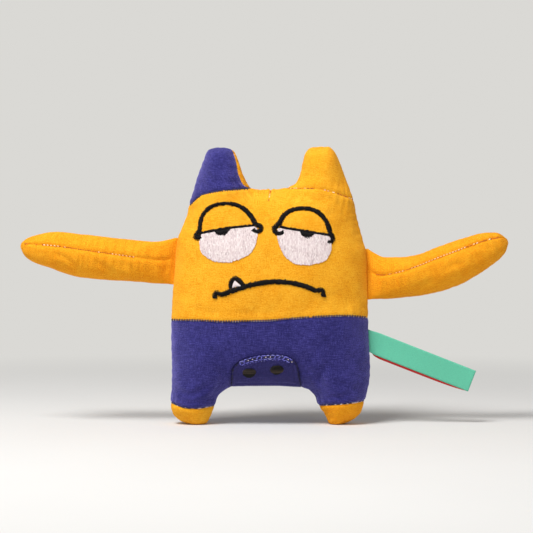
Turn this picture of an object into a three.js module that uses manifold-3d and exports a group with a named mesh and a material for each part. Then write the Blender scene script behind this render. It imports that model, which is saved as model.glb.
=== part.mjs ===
// A stuffed cloth monster: a flat pillow body with two horns, two stubby legs and two long arms.
// Units are millimetres. X runs across the body, the face looks along -Y, and Z is up.
// The origin is on the floor, below the middle of the span of the arms.
import * as THREE from "three";
import { mergeVertices } from "three/addons/utils/BufferGeometryUtils.js";
import Module from "manifold-3d";

const wasm = await Module();
wasm.setup();

// Sizes of the body, seen from the front
const headTop = 159.5;
const hornRise = 28.5;
const halfWidth = 67;
const waistHeight = 71.5;
const archHeight = 26;
const ankleHeight = 13.5;
const soleSink = 3;
const legSideWidth = 16.5;
const legSpread = halfWidth - legSideWidth;
const legHalfWidth = 15;
const hornSideWidth = 33;
const hornSpread = halfWidth - hornSideWidth;
const hornHalfWidth = 20;

// Depth of the stuffed body: the roundness of its sewn edge, and the half depth it swells towards
const rimRadius = 10.5;
const fullDepth = 36;

// Cloth, and the gap that sewn or laid-on pieces keep
const clothThickness = 1;
const sewnGap = 0.3;
const stuffingGap = 0.9;

// Arms
const armLength = 102;
const armHalfHeight = 14.8;
const armHalfDepth = 12.5;
const armRootHalfDepth = 1.15;
const armHingeShare = 0.13;
const armLiftAngle = THREE.MathUtils.degToRad(25);
const stuffingClearance = 0.8;

// Horns
const hornFlopAngle = THREE.MathUtils.degToRad(22);
const hornTwist = THREE.MathUtils.degToRad(24);
const twistRise = 13;
const twistSwell = 0.05;
const spareAngle = THREE.MathUtils.degToRad(2);

// Stuffing is divided here, above the legs
const hipHeight = 27.6;

// Side tag: one ribbon folded in half
const tagLength = 74;
const tagWidth = 15.1;
const ribbonThickness = 0.4;
const tagHeight = 55;
const tagSlope = THREE.MathUtils.degToRad(20.6);
const tagTurnLength = 6;
const tagFoldRadius = 0.9;
const tagDroop = 1.8;

// Embroidery and the nose patch
const threadRise = 0.8;
const whiteRise = 0.6;
const lineWidth = 2.7;
const lidWidth = 1.4;
const mouthWidth = 2.7;
const fangWidth = 1.9;
const eyeHalfWidth = 17.5;
const eyeRise = 17;
const whiteHalfWidth = 19.2;
const whiteDrop = 22;
const pupilHalfWidth = 4.9;
const pupilDrop = 4.3;
const curlRadius = 2.6;
const patchHalfWidth = 23;
const patchRise = 21;
const patchThickness = 1;
const patchEdgeWidth = 1.2;
const patchGap = 0.5;
const nostrilHalfWidth = 4.7;
const nostrilHalfHeight = 3.1;

// Squeaker in the belly: a moulded bladder with a reed whistle pressed into its neck
const squeakerHeight = 78;
const bladderRadius = 21;
const bladderHalfDepth = 10;
const bladderWall = 1;
const neckLength = 4.5;
const neckWall = 1;
const whistleRadius = 4.2;
const whistleBore = 2.6;
const whistleLength = 8;
const flangeRadius = 6;
const flangeThickness = 1.2;
const reedThickness = 0.4;
const reedLength = 6;

// Outline of the sewn edge, clockwise from the left ankle. Each row is [across, up, name].
// Side rows go across in halfWidth, and up from arch to waist (hip) or from waist to head top (flank).
const hipLeftShares = [
  [-0.99, 0.01, "hipLeft"],
  [-0.99, 0.275],
  [-0.996, 0.716],
  [-0.993, 0.978, "waistLeft"],
];
const flankLeftShares = [
  [-0.988, 0.114],
  [-0.976, 0.268, "shoulderLowLeft"],
  [-0.931, 0.611, "shoulderHighLeft"],
  [-0.882, 0.709],
  [-0.831, 0.816],
  [-0.813, 0.881, "hornBaseLeft"],
];
// Horn rows go outwards from the middle of the horn in hornHalfWidth, and up in hornRise.
const hornLeftShares = [
  [0.78, 0.186],
  [0.545, 0.618],
  [0.395, 0.888, "tipOuterLeft"],
  [0.315, 0.958],
  [-0.025, 0.993],
  [-0.345, 0.958],
  [-0.485, 0.881, "tipInnerLeft"],
  [-0.62, 0.667],
  [-0.795, 0.326],
  [-1.065, 0.025, "hornInnerLeft"],
];
const headTopShares = [[0, 1]];
const hornRightShares = [
  [-1.12, 0.032, "hornInnerRight"],
  [-0.83, 0.13],
  [-0.65, 0.375],
  [-0.55, 0.705],
  [-0.41, 0.937, "tipInnerRight"],
  [-0.22, 1],
  [0.075, 1.01],
  [0.35, 1],
  [0.465, 0.93, "tipOuterRight"],
  [0.62, 0.754],
  [0.855, 0.326],
];
const flankRightShares = [
  [0.846, 0.92, "hornBaseRight"],
  [0.884, 0.785],
  [0.943, 0.618],
  [0.975, 0.526, "shoulderHighRight"],
  [0.996, 0.152, "shoulderLowRight"],
];
const hipRightShares = [
  [0.997, 1.015, "waistRight"],
  [1.004, 0.716],
  [1.019, 0.275],
  [1.004, 0.01, "hipRight"],
];
// Foot rows go outwards from the middle of the leg in legHalfWidth, and up in ankleHeight.
const footRightShares = [
  [0.92, 1.178, "ankleOuterRight"],
  [0.72, 0.511],
  [0, 0, "soleOuterRight"],
];
const footRightInnerShares = [
  [-0.62, 0, "soleInnerRight"],
  [-0.893, 0.556],
  [-1.12, 0.956, "ankleInnerRight"],
];
// Crotch rows go across in halfWidth, and up in archHeight.
const crotchShares = [
  [0.442, 0.804, "thighRight"],
  [0.363, 0.935, "groinRight"],
  [0.194, 0.98],
  [-0.009, 1],
  [-0.254, 0.992],
  [-0.41, 0.954, "groinLeft"],
  [-0.521, 0.73, "thighLeft"],
];
const footLeftInnerShares = [
  [-0.873, 0.933, "ankleInnerLeft"],
  [-0.68, 0.356],
  [-0.46, 0, "soleInnerLeft"],
];
const footLeftShares = [
  [0.34, 0, "soleOuterLeft"],
  [0.985, 0.47],
  [1.085, 1.096, "ankleOuterLeft"],
];
const soleRightShare = -0.31;
const soleLeftShare = -0.087;

// Points inside the seams that cross the body, in the same two shares as the rows of their region
const waistSeamShares = [
  [-0.73, 0.982],
  [-0.49, 0.969],
  [-0.24, 0.974],
  [0, 0.985],
  [0.24, 1.015],
  [0.49, 1.04],
  [0.73, 1.05],
  [0.87, 1.04],
];
const hornSeamLeftShares = [
  [-0.691, 0.953],
  [-0.551, 0.976],
  [-0.41, 0.989],
];
const hornSeamRightShares = [
  [0.493, 0.994],
  [0.654, 0.966],
];
const ankleSeamLeftShares = [
  [0.607, 0.919],
  [-0.113, 0.844],
];
const ankleSeamRightShares = [
  [-0.467, 1.059],
  [0.253, 1.119],
];

const lerp = THREE.MathUtils.lerp;
const lowZ = (share) => lerp(archHeight, waistHeight, share);
const highZ = (share) => lerp(waistHeight, headTop, share);
const lowPoint = ([across, up]) => [across * halfWidth, lowZ(up)];
const highPoint = ([across, up]) => [across * halfWidth, highZ(up)];
const crotchPoint = ([across, up]) => [across * halfWidth, up * archHeight];
const hornPoint = (side) => (row) => [
  side * (hornSpread + row[0] * hornHalfWidth),
  headTop + row[1] * hornRise,
];
const footPoint = (side) => (row) => [
  side * (legSpread + row[0] * legHalfWidth),
  row[1] * ankleHeight,
];

const outline = [];
const anchor = {};
function addRows(rows, toPoint) {
  for (const row of rows) {
    if (row[2]) anchor[row[2]] = outline.length;
    outline.push(toPoint(row));
  }
}
addRows(hipLeftShares, lowPoint);
addRows(flankLeftShares, highPoint);
addRows(hornLeftShares, hornPoint(-1));
addRows(headTopShares, highPoint);
addRows(hornRightShares, hornPoint(1));
addRows(flankRightShares, highPoint);
addRows(hipRightShares, lowPoint);
addRows(footRightShares, footPoint(1));
outline.push([legSpread + soleRightShare * legHalfWidth, -soleSink]);
addRows(footRightInnerShares, footPoint(1));
addRows(crotchShares, crotchPoint);
addRows(footLeftInnerShares, footPoint(-1));
outline.push([-legSpread - soleLeftShare * legHalfWidth, -soleSink]);
addRows(footLeftShares, footPoint(-1));

const flat = ([x, z]) => new THREE.Vector3(x, 0, z);
const rimCurve = new THREE.CatmullRomCurve3(outline.map(flat), true, "centripetal");
const rimCount = outline.length;
const wrapped = (place) => (((place / rimCount) % 1) + 1) % 1;

// A point of the sewn edge, with the way out of the body there. Places count outline points.
function rimPoint(place) {
  const point = rimCurve.getPoint(wrapped(place));
  const along = rimCurve.getTangent(wrapped(place));
  return { x: point.x, z: point.z, out: new THREE.Vector3(-along.z, 0, along.x) };
}

// The place that lies a distance further along the edge
const placeStep = 0.01;
function placeAfter(place, distance) {
  const here = rimCurve.getPoint(wrapped(place));
  const near = rimCurve.getPoint(wrapped(place + placeStep * Math.sign(distance)));
  return place + (placeStep * distance) / here.distanceTo(near);
}

// The edge from one named place to another. An end where a seam crosses the body is pulled in by
// half the sewn gap.
const seamEnd = /^(waist|horn|ankle)/;
function rimRun(from, to) {
  const length = (anchor[to] - anchor[from] + rimCount) % rimCount;
  const start = seamEnd.test(from) ? placeAfter(anchor[from], sewnGap / 2) : anchor[from];
  const far = anchor[from] + length;
  const end = seamEnd.test(to) ? placeAfter(far, -sewnGap / 2) : far;
  return (share) => rimPoint(lerp(start, end, share));
}

// The same edge walked the other way
const reversed = (run) => (share) => run(1 - share);

// A seam across the body between two places of the edge, moved to one side by half the sewn gap
function seamRun(from, rows, toPoint, to, side) {
  const ends = [rimPoint(anchor[from]), rimPoint(anchor[to])];
  const inside = rows.map(toPoint).map(flat);
  const points = [flat([ends[0].x, ends[0].z]), ...inside, flat([ends[1].x, ends[1].z])];
  const curve = new THREE.CatmullRomCurve3(points, false, "centripetal");
  return (share) => {
    const point = curve.getPoint(share);
    const along = curve.getTangent(share);
    const move = (side * sewnGap) / 2;
    return { x: point.x - along.z * move, z: point.z + along.x * move };
  };
}

// Soft distance from the sewn edge to a point, negative outside. Close to a straight edge it is the
// plain distance, and in the middle of the body it is smaller, as all of the edge pulls the cloth in.
const edgeSteps = 4;
const edge = Array.from({ length: rimCount * edgeSteps }, (_, i) => rimPoint(i / edgeSteps));
const closest = 1e-6;
function softDistance(x, z) {
  let pull = 0;
  let inside = false;
  edge.forEach((a, i) => {
    const b = edge[(i + 1) % edge.length];
    const length = Math.hypot(b.x - a.x, b.z - a.z);
    const alongX = (b.x - a.x) / length;
    const alongZ = (b.z - a.z) / length;
    const startAlong = (a.x - x) * alongX + (a.z - z) * alongZ;
    const endAlong = startAlong + length;
    const startFar = Math.hypot(a.x - x, a.z - z) + closest;
    const endFar = Math.hypot(b.x - x, b.z - z) + closest;
    if (startAlong * endAlong > 0) {
      const spread = startFar * endFar * (endAlong * startFar + startAlong * endFar);
      pull += (endAlong ** 2 - startAlong ** 2) / spread;
    } else {
      const off = (a.x - x) * alongZ - (a.z - z) * alongX;
      pull += (endAlong / endFar - startAlong / startFar) / (off ** 2 + closest ** 2);
    }
    const crosses = a.z > z !== b.z > z;
    if (crosses && x < a.x + ((z - a.z) * (b.x - a.x)) / (b.z - a.z)) inside = !inside;
  });
  return (inside ? 1 : -1) * Math.sqrt(2 / pull);
}

// The square of the half depth of the stuffed body
function depthSquared(x, z) {
  const round = (2 * rimRadius * softDistance(x, z)) / fullDepth ** 2;
  return fullDepth ** 2 * (1 - Math.exp(-round));
}

// A point on the outside of the body, or a height above it. The side is -1 in front and 1 behind.
const slopeStep = 0.2;
function bodyPoint(spot, side, height = 0) {
  const { x, z, out } = spot;
  const squared = out ? 0 : Math.max(0, depthSquared(x, z));
  const half = Math.sqrt(squared) * (1 - (spot.fold ?? 0));
  let normal = out;
  if (!normal) {
    const slopeX = depthSquared(x + slopeStep, z) - depthSquared(x - slopeStep, z);
    const slopeZ = depthSquared(x, z + slopeStep) - depthSquared(x, z - slopeStep);
    const deep = 4 * slopeStep * Math.sqrt(squared) * side;
    normal = new THREE.Vector3(-slopeX, deep, -slopeZ).normalize();
  }
  const y = side * (sewnGap / 2 + half) + normal.y * height;
  return new THREE.Vector3(
    x + normal.x * height,
    side * Math.max(sewnGap / 2, side * y),
    z + normal.z * height,
  );
}

// Turns points and triangles into a closed geometry that faces out.
const weldDistance = 1e-3;
function closedGeometry(points, faces) {
  const geometry = new THREE.BufferGeometry();
  geometry.setAttribute(
    "position",
    new THREE.Float32BufferAttribute(
      points.flatMap((p) => [p.x, p.y, p.z]),
      3,
    ),
  );
  geometry.setIndex(faces);
  const merged = mergeVertices(geometry, weldDistance);
  const spots = merged.attributes.position;
  const kept = [];
  let volume = 0;
  const corners = [new THREE.Vector3(), new THREE.Vector3(), new THREE.Vector3()];
  for (let i = 0; i < merged.index.count; i += 3) {
    const ids = [0, 1, 2].map((k) => merged.index.getX(i + k));
    if (new Set(ids).size < 3) continue;
    kept.push(...ids);
    corners.forEach((corner, k) => corner.fromBufferAttribute(spots, ids[k]));
    volume += corners[0].dot(corners[1].cross(corners[2]));
  }
  if (volume < 0) kept.reverse();
  merged.setIndex(kept);
  merged.computeVertexNormals();
  return merged;
}

// A solid between two grids of points of the same size
function slab(outer, inner) {
  const rows = outer.length;
  const columns = outer[0].length;
  const points = [...outer.flat(), ...inner.flat()];
  const at = (layer, [row, column]) => (layer * rows + row) * columns + column;
  const faces = [];
  const quad = (a, b, c, d) => faces.push(a, b, c, a, c, d);
  for (let row = 0; row < rows - 1; row++)
    for (let column = 0; column < columns - 1; column++) {
      const low = [row, column];
      const lowNext = [row, column + 1];
      const high = [row + 1, column];
      const highNext = [row + 1, column + 1];
      quad(at(0, low), at(0, lowNext), at(0, highNext), at(0, high));
      quad(at(1, high), at(1, highNext), at(1, lowNext), at(1, low));
    }
  const border = [];
  const last = rows - 1;
  for (let c = 0; c < columns - 1; c++) border.push([0, c]);
  for (let r = 0; r < last; r++) border.push([r, columns - 1]);
  for (let c = columns - 1; c > 0; c--) border.push([last, c]);
  for (let r = last; r > 0; r--) border.push([r, 0]);
  border.forEach((p, i) => {
    const q = border[(i + 1) % border.length];
    quad(at(0, q), at(0, p), at(1, p), at(1, q));
  });
  return closedGeometry(points, faces);
}

// A solid tube through rings of points, closed at both ends by a fan.
function tube(rings) {
  const sides = rings[0].length;
  const points = rings.flat();
  const faces = [];
  for (let r = 0; r < rings.length - 1; r++)
    for (let k = 0; k < sides; k++) {
      const next = (k + 1) % sides;
      const [a, b] = [r * sides + k, r * sides + next];
      faces.push(a, b, b + sides, a, b + sides, a + sides);
    }
  const middle = (ring) =>
    ring.reduce((sum, p) => sum.add(p), new THREE.Vector3()).divideScalar(sides);
  points.push(middle(rings[0]), middle(rings.at(-1)));
  const first = (rings.length - 1) * sides;
  for (let k = 0; k < sides; k++) {
    const next = (k + 1) % sides;
    faces.push(points.length - 2, next, k);
    faces.push(points.length - 1, first + k, first + next);
  }
  return closedGeometry(points, faces);
}

// Solids for cutting, and back to a geometry
function toSolid(geometry) {
  const bare = geometry.clone();
  bare.deleteAttribute("normal");
  bare.deleteAttribute("uv");
  const merged = mergeVertices(bare, weldDistance);
  return new wasm.Manifold(
    new wasm.Mesh({
      numProp: 3,
      vertProperties: new Float32Array(merged.attributes.position.array),
      triVerts: new Uint32Array(merged.index.array),
    }),
  );
}
function toGeometry(solid) {
  const bodies = solid.decompose();
  const largest = bodies.reduce((a, b) => (b.volume() > a.volume() ? b : a));
  const mesh = largest.getMesh();
  const geometry = new THREE.BufferGeometry();
  geometry.setAttribute("position", new THREE.BufferAttribute(mesh.vertProperties, 3));
  geometry.setIndex(new THREE.BufferAttribute(mesh.triVerts, 1));
  geometry.computeVertexNormals();
  return geometry;
}

// Shares from 0 to 1 that crowd at both ends, at the start, at the end, or nowhere
const steps = (count) => Array.from({ length: count + 1 }, (_, i) => i / count);
const crowdBoth = (count) => steps(count).map((s) => (1 - Math.cos(Math.PI * s)) / 2);
const crowdStart = (count) => steps(count).map((s) => 1 - Math.cos((Math.PI * s) / 2));
const crowdEnd = (count) => steps(count).map((s) => Math.sin((Math.PI * s) / 2));

// Spots along several runs, one after the other. A shared corner is taken from the later run.
const chain = (...parts) =>
  parts.flatMap(([run, shares], i) =>
    (i < parts.length - 1 ? shares.slice(0, -1) : shares).map((share) => run(share)),
  );

// A grid of spots between a bottom and a top row and two side runs
function patchGrid(bottom, top, left, right, shares) {
  const rows = shares.map((up) => {
    const start = left(up);
    const end = right(up);
    return bottom.map((low, column) => {
      const high = top[column];
      const across = (low.x - bottom[0].x) / (bottom.at(-1).x - bottom[0].x);
      const blend = (axis) => {
        const corner = (row, side) => row.at(side)[axis];
        const level = lerp(low[axis], high[axis], up) + lerp(start[axis], end[axis], across);
        const lowCorner = lerp(corner(bottom, 0), corner(bottom, -1), across);
        const highCorner = lerp(corner(top, 0), corner(top, -1), across);
        return level - lerp(lowCorner, highCorner, up);
      };
      return { x: blend("x"), z: blend("z") };
    });
  });
  rows[0] = bottom;
  rows[rows.length - 1] = top;
  return rows.map((row, r) => [left(shares[r]), ...row.slice(1, -1), right(shares[r])]);
}

// A cloth panel over a grid of spots, on one side of the body
const asItIs = (point) => point;
function panel(grid, side, shape = asItIs) {
  const skin = (depth) =>
    grid.map((row) => row.map((spot) => shape(bodyPoint(spot, side, -depth), depth)));
  return slab(skin(0), skin(clothThickness));
}

// Rings of stuffing inside the cloth, from near a middle spot out to a border of spots
const padRings = 7;
const stuffingDepth = clothThickness + stuffingGap;
function padFace(middle, border, side, shape = asItIs) {
  return crowdEnd(padRings)
    .slice(1)
    .map((share) =>
      border.map((edgeSpot) => {
        const spot = { x: lerp(middle.x, edgeSpot.x, share), z: lerp(middle.z, edgeSpot.z, share) };
        return shape(bodyPoint(share < 1 ? spot : edgeSpot, side, -stuffingDepth), stuffingDepth);
      }),
    );
}

// A pad of stuffing that goes through the middle plane, and one that ends at it
const throughPad = (middle, border, shape) =>
  tube([...padFace(middle, border, -1, shape), ...padFace(middle, border, 1, shape).reverse()]);
function halfPad(middle, border, side) {
  const face = padFace(middle, border, side);
  const atMiddle = face.at(-1).map((p) => new THREE.Vector3(p.x, (side * sewnGap) / 2, p.z));
  return tube([...face, atMiddle]);
}

const toy = new THREE.Group();
const yellowCloth = new THREE.MeshStandardMaterial({ color: 0xf9a81f, roughness: 0.9 });
const blueCloth = new THREE.MeshStandardMaterial({ color: 0x3f3a80, roughness: 0.9 });
const felt = new THREE.MeshStandardMaterial({ color: 0x3c377a, roughness: 1 });
const blackThread = new THREE.MeshStandardMaterial({ color: 0x0e0d0e, roughness: 0.5 });
const whiteThread = new THREE.MeshStandardMaterial({ color: 0xe6dade, roughness: 0.5 });
const ribbon = new THREE.MeshStandardMaterial({ color: 0x5cc7a3, roughness: 0.6 });
const fibre = new THREE.MeshStandardMaterial({ color: 0xf2f1ec, roughness: 1 });
const plastic = new THREE.MeshStandardMaterial({ color: 0xe9eef0, roughness: 0.35 });

function addPiece(name, geometry, material, parent = toy) {
  const mesh = new THREE.Mesh(geometry, material);
  mesh.name = name;
  parent.add(mesh);
}

const halves = [
  ["front", -1],
  ["back", 1],
];
const overrun = 4 * clothThickness;

// The far row takes its columns from the near row, so that the columns run straight across.
function facing(near, seam) {
  const span = near.at(-1).x - near[0].x;
  return near.map((spot) => seam((spot.x - near[0].x) / span));
}

// Head panels, from the waist seam up to the horn seams
const hornColumns = 8;
const headTopColumns = 4;
const headRows = 9;
const hornSeams = {
  left: ["hornBaseLeft", hornSeamLeftShares, highPoint, "hornInnerLeft"],
  right: ["hornInnerRight", hornSeamRightShares, highPoint, "hornBaseRight"],
};
const waistSeam = ["waistLeft", waistSeamShares, lowPoint, "waistRight"];
function headTopSpots() {
  return chain(
    [seamRun(...hornSeams.left, -1), crowdBoth(hornColumns)],
    [rimRun("hornInnerLeft", "hornInnerRight"), steps(headTopColumns)],
    [seamRun(...hornSeams.right, -1), crowdBoth(hornColumns)],
  );
}
function headGrid() {
  const top = headTopSpots();
  const bottom = facing(top, seamRun(...waistSeam, 1));
  const left = rimRun("waistLeft", "hornBaseLeft");
  const right = reversed(rimRun("hornBaseRight", "waistRight"));
  return patchGrid(bottom, top, left, right, crowdEnd(headRows));
}

// Trouser panels, from the ankles and the crotch up to the waist seam
const ankleColumns = 6;
const crotchColumns = 8;
const trouserRows = 7;
const ankleSeams = {
  left: ["ankleOuterLeft", ankleSeamLeftShares, footPoint(-1), "ankleInnerLeft"],
  right: ["ankleInnerRight", ankleSeamRightShares, footPoint(1), "ankleOuterRight"],
};
function trouserGrid() {
  const bottom = chain(
    [seamRun(...ankleSeams.left, 1), crowdBoth(ankleColumns)],
    [reversed(rimRun("ankleInnerRight", "ankleInnerLeft")), steps(crotchColumns)],
    [seamRun(...ankleSeams.right, 1), crowdBoth(ankleColumns)],
  );
  const top = facing(bottom, seamRun(...waistSeam, -1));
  const left = rimRun("ankleOuterLeft", "waistLeft");
  const right = reversed(rimRun("waistRight", "ankleOuterRight"));
  return patchGrid(bottom, top, left, right, crowdStart(trouserRows));
}

// Foot panels, from the sole up to the ankle. The sole is pressed flat on the floor, and its rows
// fold in under the foot to the middle seam.
const footColumns = 7;
const footRows = 4;
const foldShares = [1, 0.5];
const feet = {
  left: {
    up: rimRun("soleOuterLeft", "ankleOuterLeft"),
    down: reversed(rimRun("ankleInnerLeft", "soleInnerLeft")),
  },
  right: {
    up: rimRun("soleInnerRight", "ankleInnerRight"),
    down: reversed(rimRun("ankleOuterRight", "soleOuterRight")),
  },
};
function footGrid(name) {
  const { up, down } = feet[name];
  const [start, end] = [up(0), down(0)];
  const sole = crowdBoth(footColumns).map((share) => ({ x: lerp(start.x, end.x, share), z: 0 }));
  const top = crowdBoth(footColumns).map(seamRun(...ankleSeams[name], -1));
  const grid = patchGrid(sole, top, up, down, steps(footRows));
  const folded = foldShares.map((fold) =>
    grid[0].map((spot) => (spot.out ? spot : { ...spot, fold })),
  );
  return [...folded, ...grid];
}
const onFloor = (point, depth) => point.setZ(Math.max(depth, point.z));

for (const [half, side] of halves) {
  addPiece(`head_${half}`, panel(headGrid(), side), yellowCloth);
  addPiece(`trousers_${half}`, panel(trouserGrid(), side), blueCloth);
  for (const name of ["left", "right"])
    addPiece(`foot_${name}_${half}`, panel(footGrid(name), side, onFloor), yellowCloth);
}

// The left horn is turned about its own upright middle, and swells a little, above its base.
function twistHorn(point) {
  const share = THREE.MathUtils.smoothstep(point.z, headTop, headTop + twistRise);
  const middle = new THREE.Vector3(-hornSpread, 0, 0);
  point.sub(middle);
  point.x *= 1 + twistSwell * share;
  return point.applyAxisAngle(new THREE.Vector3(0, 0, 1), -hornTwist * share).add(middle);
}

// Each horn: its edges from the base up, and the cloth of its two panels
const horns = {
  left: {
    side: -1,
    up: rimRun("hornBaseLeft", "tipOuterLeft"),
    over: rimRun("tipOuterLeft", "tipInnerLeft"),
    down: rimRun("tipInnerLeft", "hornInnerLeft"),
    shape: twistHorn,
    front: blueCloth,
    back: yellowCloth,
  },
  right: {
    side: 1,
    up: rimRun("hornInnerRight", "tipInnerRight"),
    over: rimRun("tipInnerRight", "tipOuterRight"),
    down: rimRun("tipOuterRight", "hornBaseRight"),
    shape: asItIs,
    front: yellowCloth,
    back: blueCloth,
  },
};
const hornRows = 6;
const hornMiddleShare = 0.35;
const hornEdgeShares = steps(6);

// The line that a horn flops about: along its base, level with the highest point of the seam
function hornAxis(name) {
  const seam = seamRun(...hornSeams[name], 1);
  const spots = steps(hornColumns).map(seam).map((s) => flat([s.x, s.z]));
  const along = spots.at(-1).clone().sub(spots[0]).normalize();
  const up = new THREE.Vector3(-along.z, 0, along.x);
  const rise = Math.max(...spots.map((spot) => spot.clone().sub(spots[0]).dot(up)));
  return { start: spots[0].clone().addScaledVector(up, rise), end: spots.at(-1), along, up };
}

// The wedge under a horn that keeps its stuffing clear of the head when it flops
function flopWedge(name) {
  const { start, end, along, up } = hornAxis(name);
  const half = fullDepth;
  const slope = Math.tan(hornFlopAngle + spareAngle);
  const corners = [
    [0, stuffingClearance / 2],
    [half, stuffingClearance / 2 + half * slope],
    [half, -half],
    [-half, -half],
    [-half, stuffingClearance / 2 + half * slope],
  ];
  const reach = start.distanceTo(end) + overrun;
  const ring = (distance) =>
    corners.map(([y, rise]) =>
      start
        .clone()
        .addScaledVector(along, distance)
        .addScaledVector(up, rise)
        .setY(y),
    );
  return tube([ring(-overrun), ring(reach)]);
}

for (const name of ["left", "right"]) {
  const horn = horns[name];
  const base = crowdBoth(hornColumns).map(seamRun(...hornSeams[name], 1));
  const tip = crowdBoth(hornColumns).map(horn.over);
  const grid = patchGrid(base, tip, horn.up, reversed(horn.down), crowdEnd(hornRows));
  for (const [half, side] of halves)
    addPiece(`horn_${name}_${half}`, panel(grid, side, horn.shape), horn[half]);
  const edges = chain(
    [horn.up, hornEdgeShares],
    [horn.over, hornEdgeShares],
    [horn.down, hornEdgeShares],
    [(share) => seamRun(...hornSeams[name], 1)(1 - share), crowdBoth(hornColumns)],
  ).slice(0, -1);
  const middle = { x: horn.side * hornSpread, z: headTop + hornMiddleShare * hornRise };
  const whole = toSolid(throughPad(middle, edges, horn.shape));
  const cut = whole.subtract(toSolid(flopWedge(name)));
  addPiece(`horn_${name}_stuffing`, toGeometry(cut), fibre);
}

// The place on a stretch of the edge that lies at a height
const halvings = 30;
function placeAtHeight(low, high, height) {
  let [below, above] = [anchor[low], anchor[high]];
  for (let i = 0; i < halvings; i++) {
    const middle = (below + above) / 2;
    if (rimPoint(middle).z < height) below = middle;
    else above = middle;
  }
  return below;
}

// Squeaker profiles, as [radius, forward] round the front-to-back axis
const neckBore = whistleRadius + sewnGap;
const neckRadius = neckBore + neckWall;
const neckEnd = bladderHalfDepth + neckLength;
const flangeFront = neckEnd + sewnGap + flangeThickness;
const domeSteps = 6;
const roundSides = 20;
function dome(radius, half, neck) {
  const last = Math.asin(Math.sqrt(1 - (neck / radius) ** 2));
  return steps(2 * domeSteps).map((share) => {
    const angle = lerp(-Math.PI / 2, last, share);
    return [radius * Math.max(0, Math.cos(angle)), half * Math.sin(angle)];
  });
}
const squeaker = new THREE.Group();
squeaker.position.z = squeakerHeight;
toy.add(squeaker);
function revolve(profile) {
  const points = profile.map(([radius, forward]) => new THREE.Vector2(radius, -forward));
  return new THREE.LatheGeometry(points, roundSides);
}
function closedRevolve(profile) {
  const bare = revolve(profile);
  const points = [];
  const spots = bare.attributes.position;
  for (let i = 0; i < spots.count; i++)
    points.push(new THREE.Vector3().fromBufferAttribute(spots, i));
  return closedGeometry(points, Array.from(bare.index.array));
}
const bladder = closedRevolve([
  ...dome(bladderRadius, bladderHalfDepth, neckRadius),
  [neckRadius, neckEnd],
  [neckBore, neckEnd],
  ...dome(bladderRadius - bladderWall, bladderHalfDepth - bladderWall, neckBore).reverse(),
]);
const whistle = closedRevolve([
  [whistleBore, flangeFront],
  [flangeRadius, flangeFront],
  [flangeRadius, flangeFront - flangeThickness],
  [whistleRadius, flangeFront - flangeThickness],
  [whistleRadius, neckEnd + sewnGap - whistleLength],
  [whistleBore, neckEnd + sewnGap - whistleLength],
  [whistleBore, flangeFront],
]);
const reed = new THREE.BoxGeometry(2 * (whistleBore - sewnGap), reedLength, reedThickness);
reed.translate(0, -(flangeFront - flangeThickness - reedLength / 2), 0);
addPiece("squeaker_bladder", bladder, plastic, squeaker);
addPiece("squeaker_whistle", whistle, plastic, squeaker);
addPiece("squeaker_reed", reed, plastic, squeaker);
const pocket = closedRevolve([
  ...dome(bladderRadius + sewnGap, bladderHalfDepth + sewnGap, flangeRadius + sewnGap),
  [flangeRadius + sewnGap, flangeFront + sewnGap],
  [0, flangeFront + sewnGap],
]);
pocket.translate(0, 0, squeakerHeight);

// Stuffing of the body, in a front and a back half round the squeaker
const flankShares = steps(11);
const hipShares = steps(12);
const trunkMiddle = { x: 0, z: (hipHeight + headTop) / 2 };
function trunkBorder() {
  const level = hipHeight + sewnGap / 2;
  const left = placeAtHeight("hipLeft", "waistLeft", level);
  const right = placeAtHeight("hipRight", "waistRight", level);
  const upLeft = (share) => rimPoint(lerp(left, anchor.hornBaseLeft, share));
  const downRight = (share) => rimPoint(lerp(anchor.hornBaseRight, right, share));
  const hip = (share) => ({ x: lerp(rimPoint(right).x, rimPoint(left).x, share), z: level });
  const top = headTopSpots();
  return [
    ...flankShares.slice(0, -1).map(upLeft),
    ...top,
    ...flankShares.slice(1).map(downRight),
    ...hipShares.slice(1, -1).map(hip),
  ];
}
for (const [half, side] of halves) {
  const whole = toSolid(halfPad(trunkMiddle, trunkBorder(), side));
  addPiece(`body_stuffing_${half}`, toGeometry(whole.subtract(toSolid(pocket))), fibre);
}

// Stuffing of the legs, from the soles up to the hips
const legShares = steps(16);
const legTopShares = steps(4);
const legs = {
  left: { side: -1, inner: "groinLeft", hip: ["hipLeft", "waistLeft"] },
  right: { side: 1, inner: "groinRight", hip: ["hipRight", "waistRight"] },
};
for (const name of ["left", "right"]) {
  const { side, inner, hip } = legs[name];
  const level = hipHeight - sewnGap / 2;
  const outerPlace = placeAtHeight(...hip, level);
  const innerPlace = anchor[inner];
  const away = side < 0 ? rimCount : 0;
  const run = (share) => rimPoint(lerp(outerPlace + away, innerPlace, share));
  const top = (share) => ({ x: lerp(run(1).x, run(0).x, share), z: level });
  const border = [...legShares.map(run), ...legTopShares.slice(0, -1).map(top)];
  const middle = { x: side * legSpread, z: ankleHeight };
  addPiece(`leg_${name}_stuffing`, throughPad(middle, border, onFloor), fibre);
}

// Arms. The bend rows are places of the middle line, outwards and up from the root in armLength.
const leftBendShares = [
  [0.095, -0.01],
  [0.32, 0.005],
  [0.55, 0.03],
  [0.78, 0.066],
  [0.93, 0.083],
  [1.01, 0.106],
];
const rightBendShares = [
  [0.075, -0.025],
  [0.32, -0.01],
  [0.54, 0.051],
  [0.75, 0.144],
  [0.85, 0.192],
  [0.92, 0.219],
];
// How far each arm is rolled, in degrees, so that its front seam runs above its middle
const armRolls = { left: 15, right: 32 };

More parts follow.
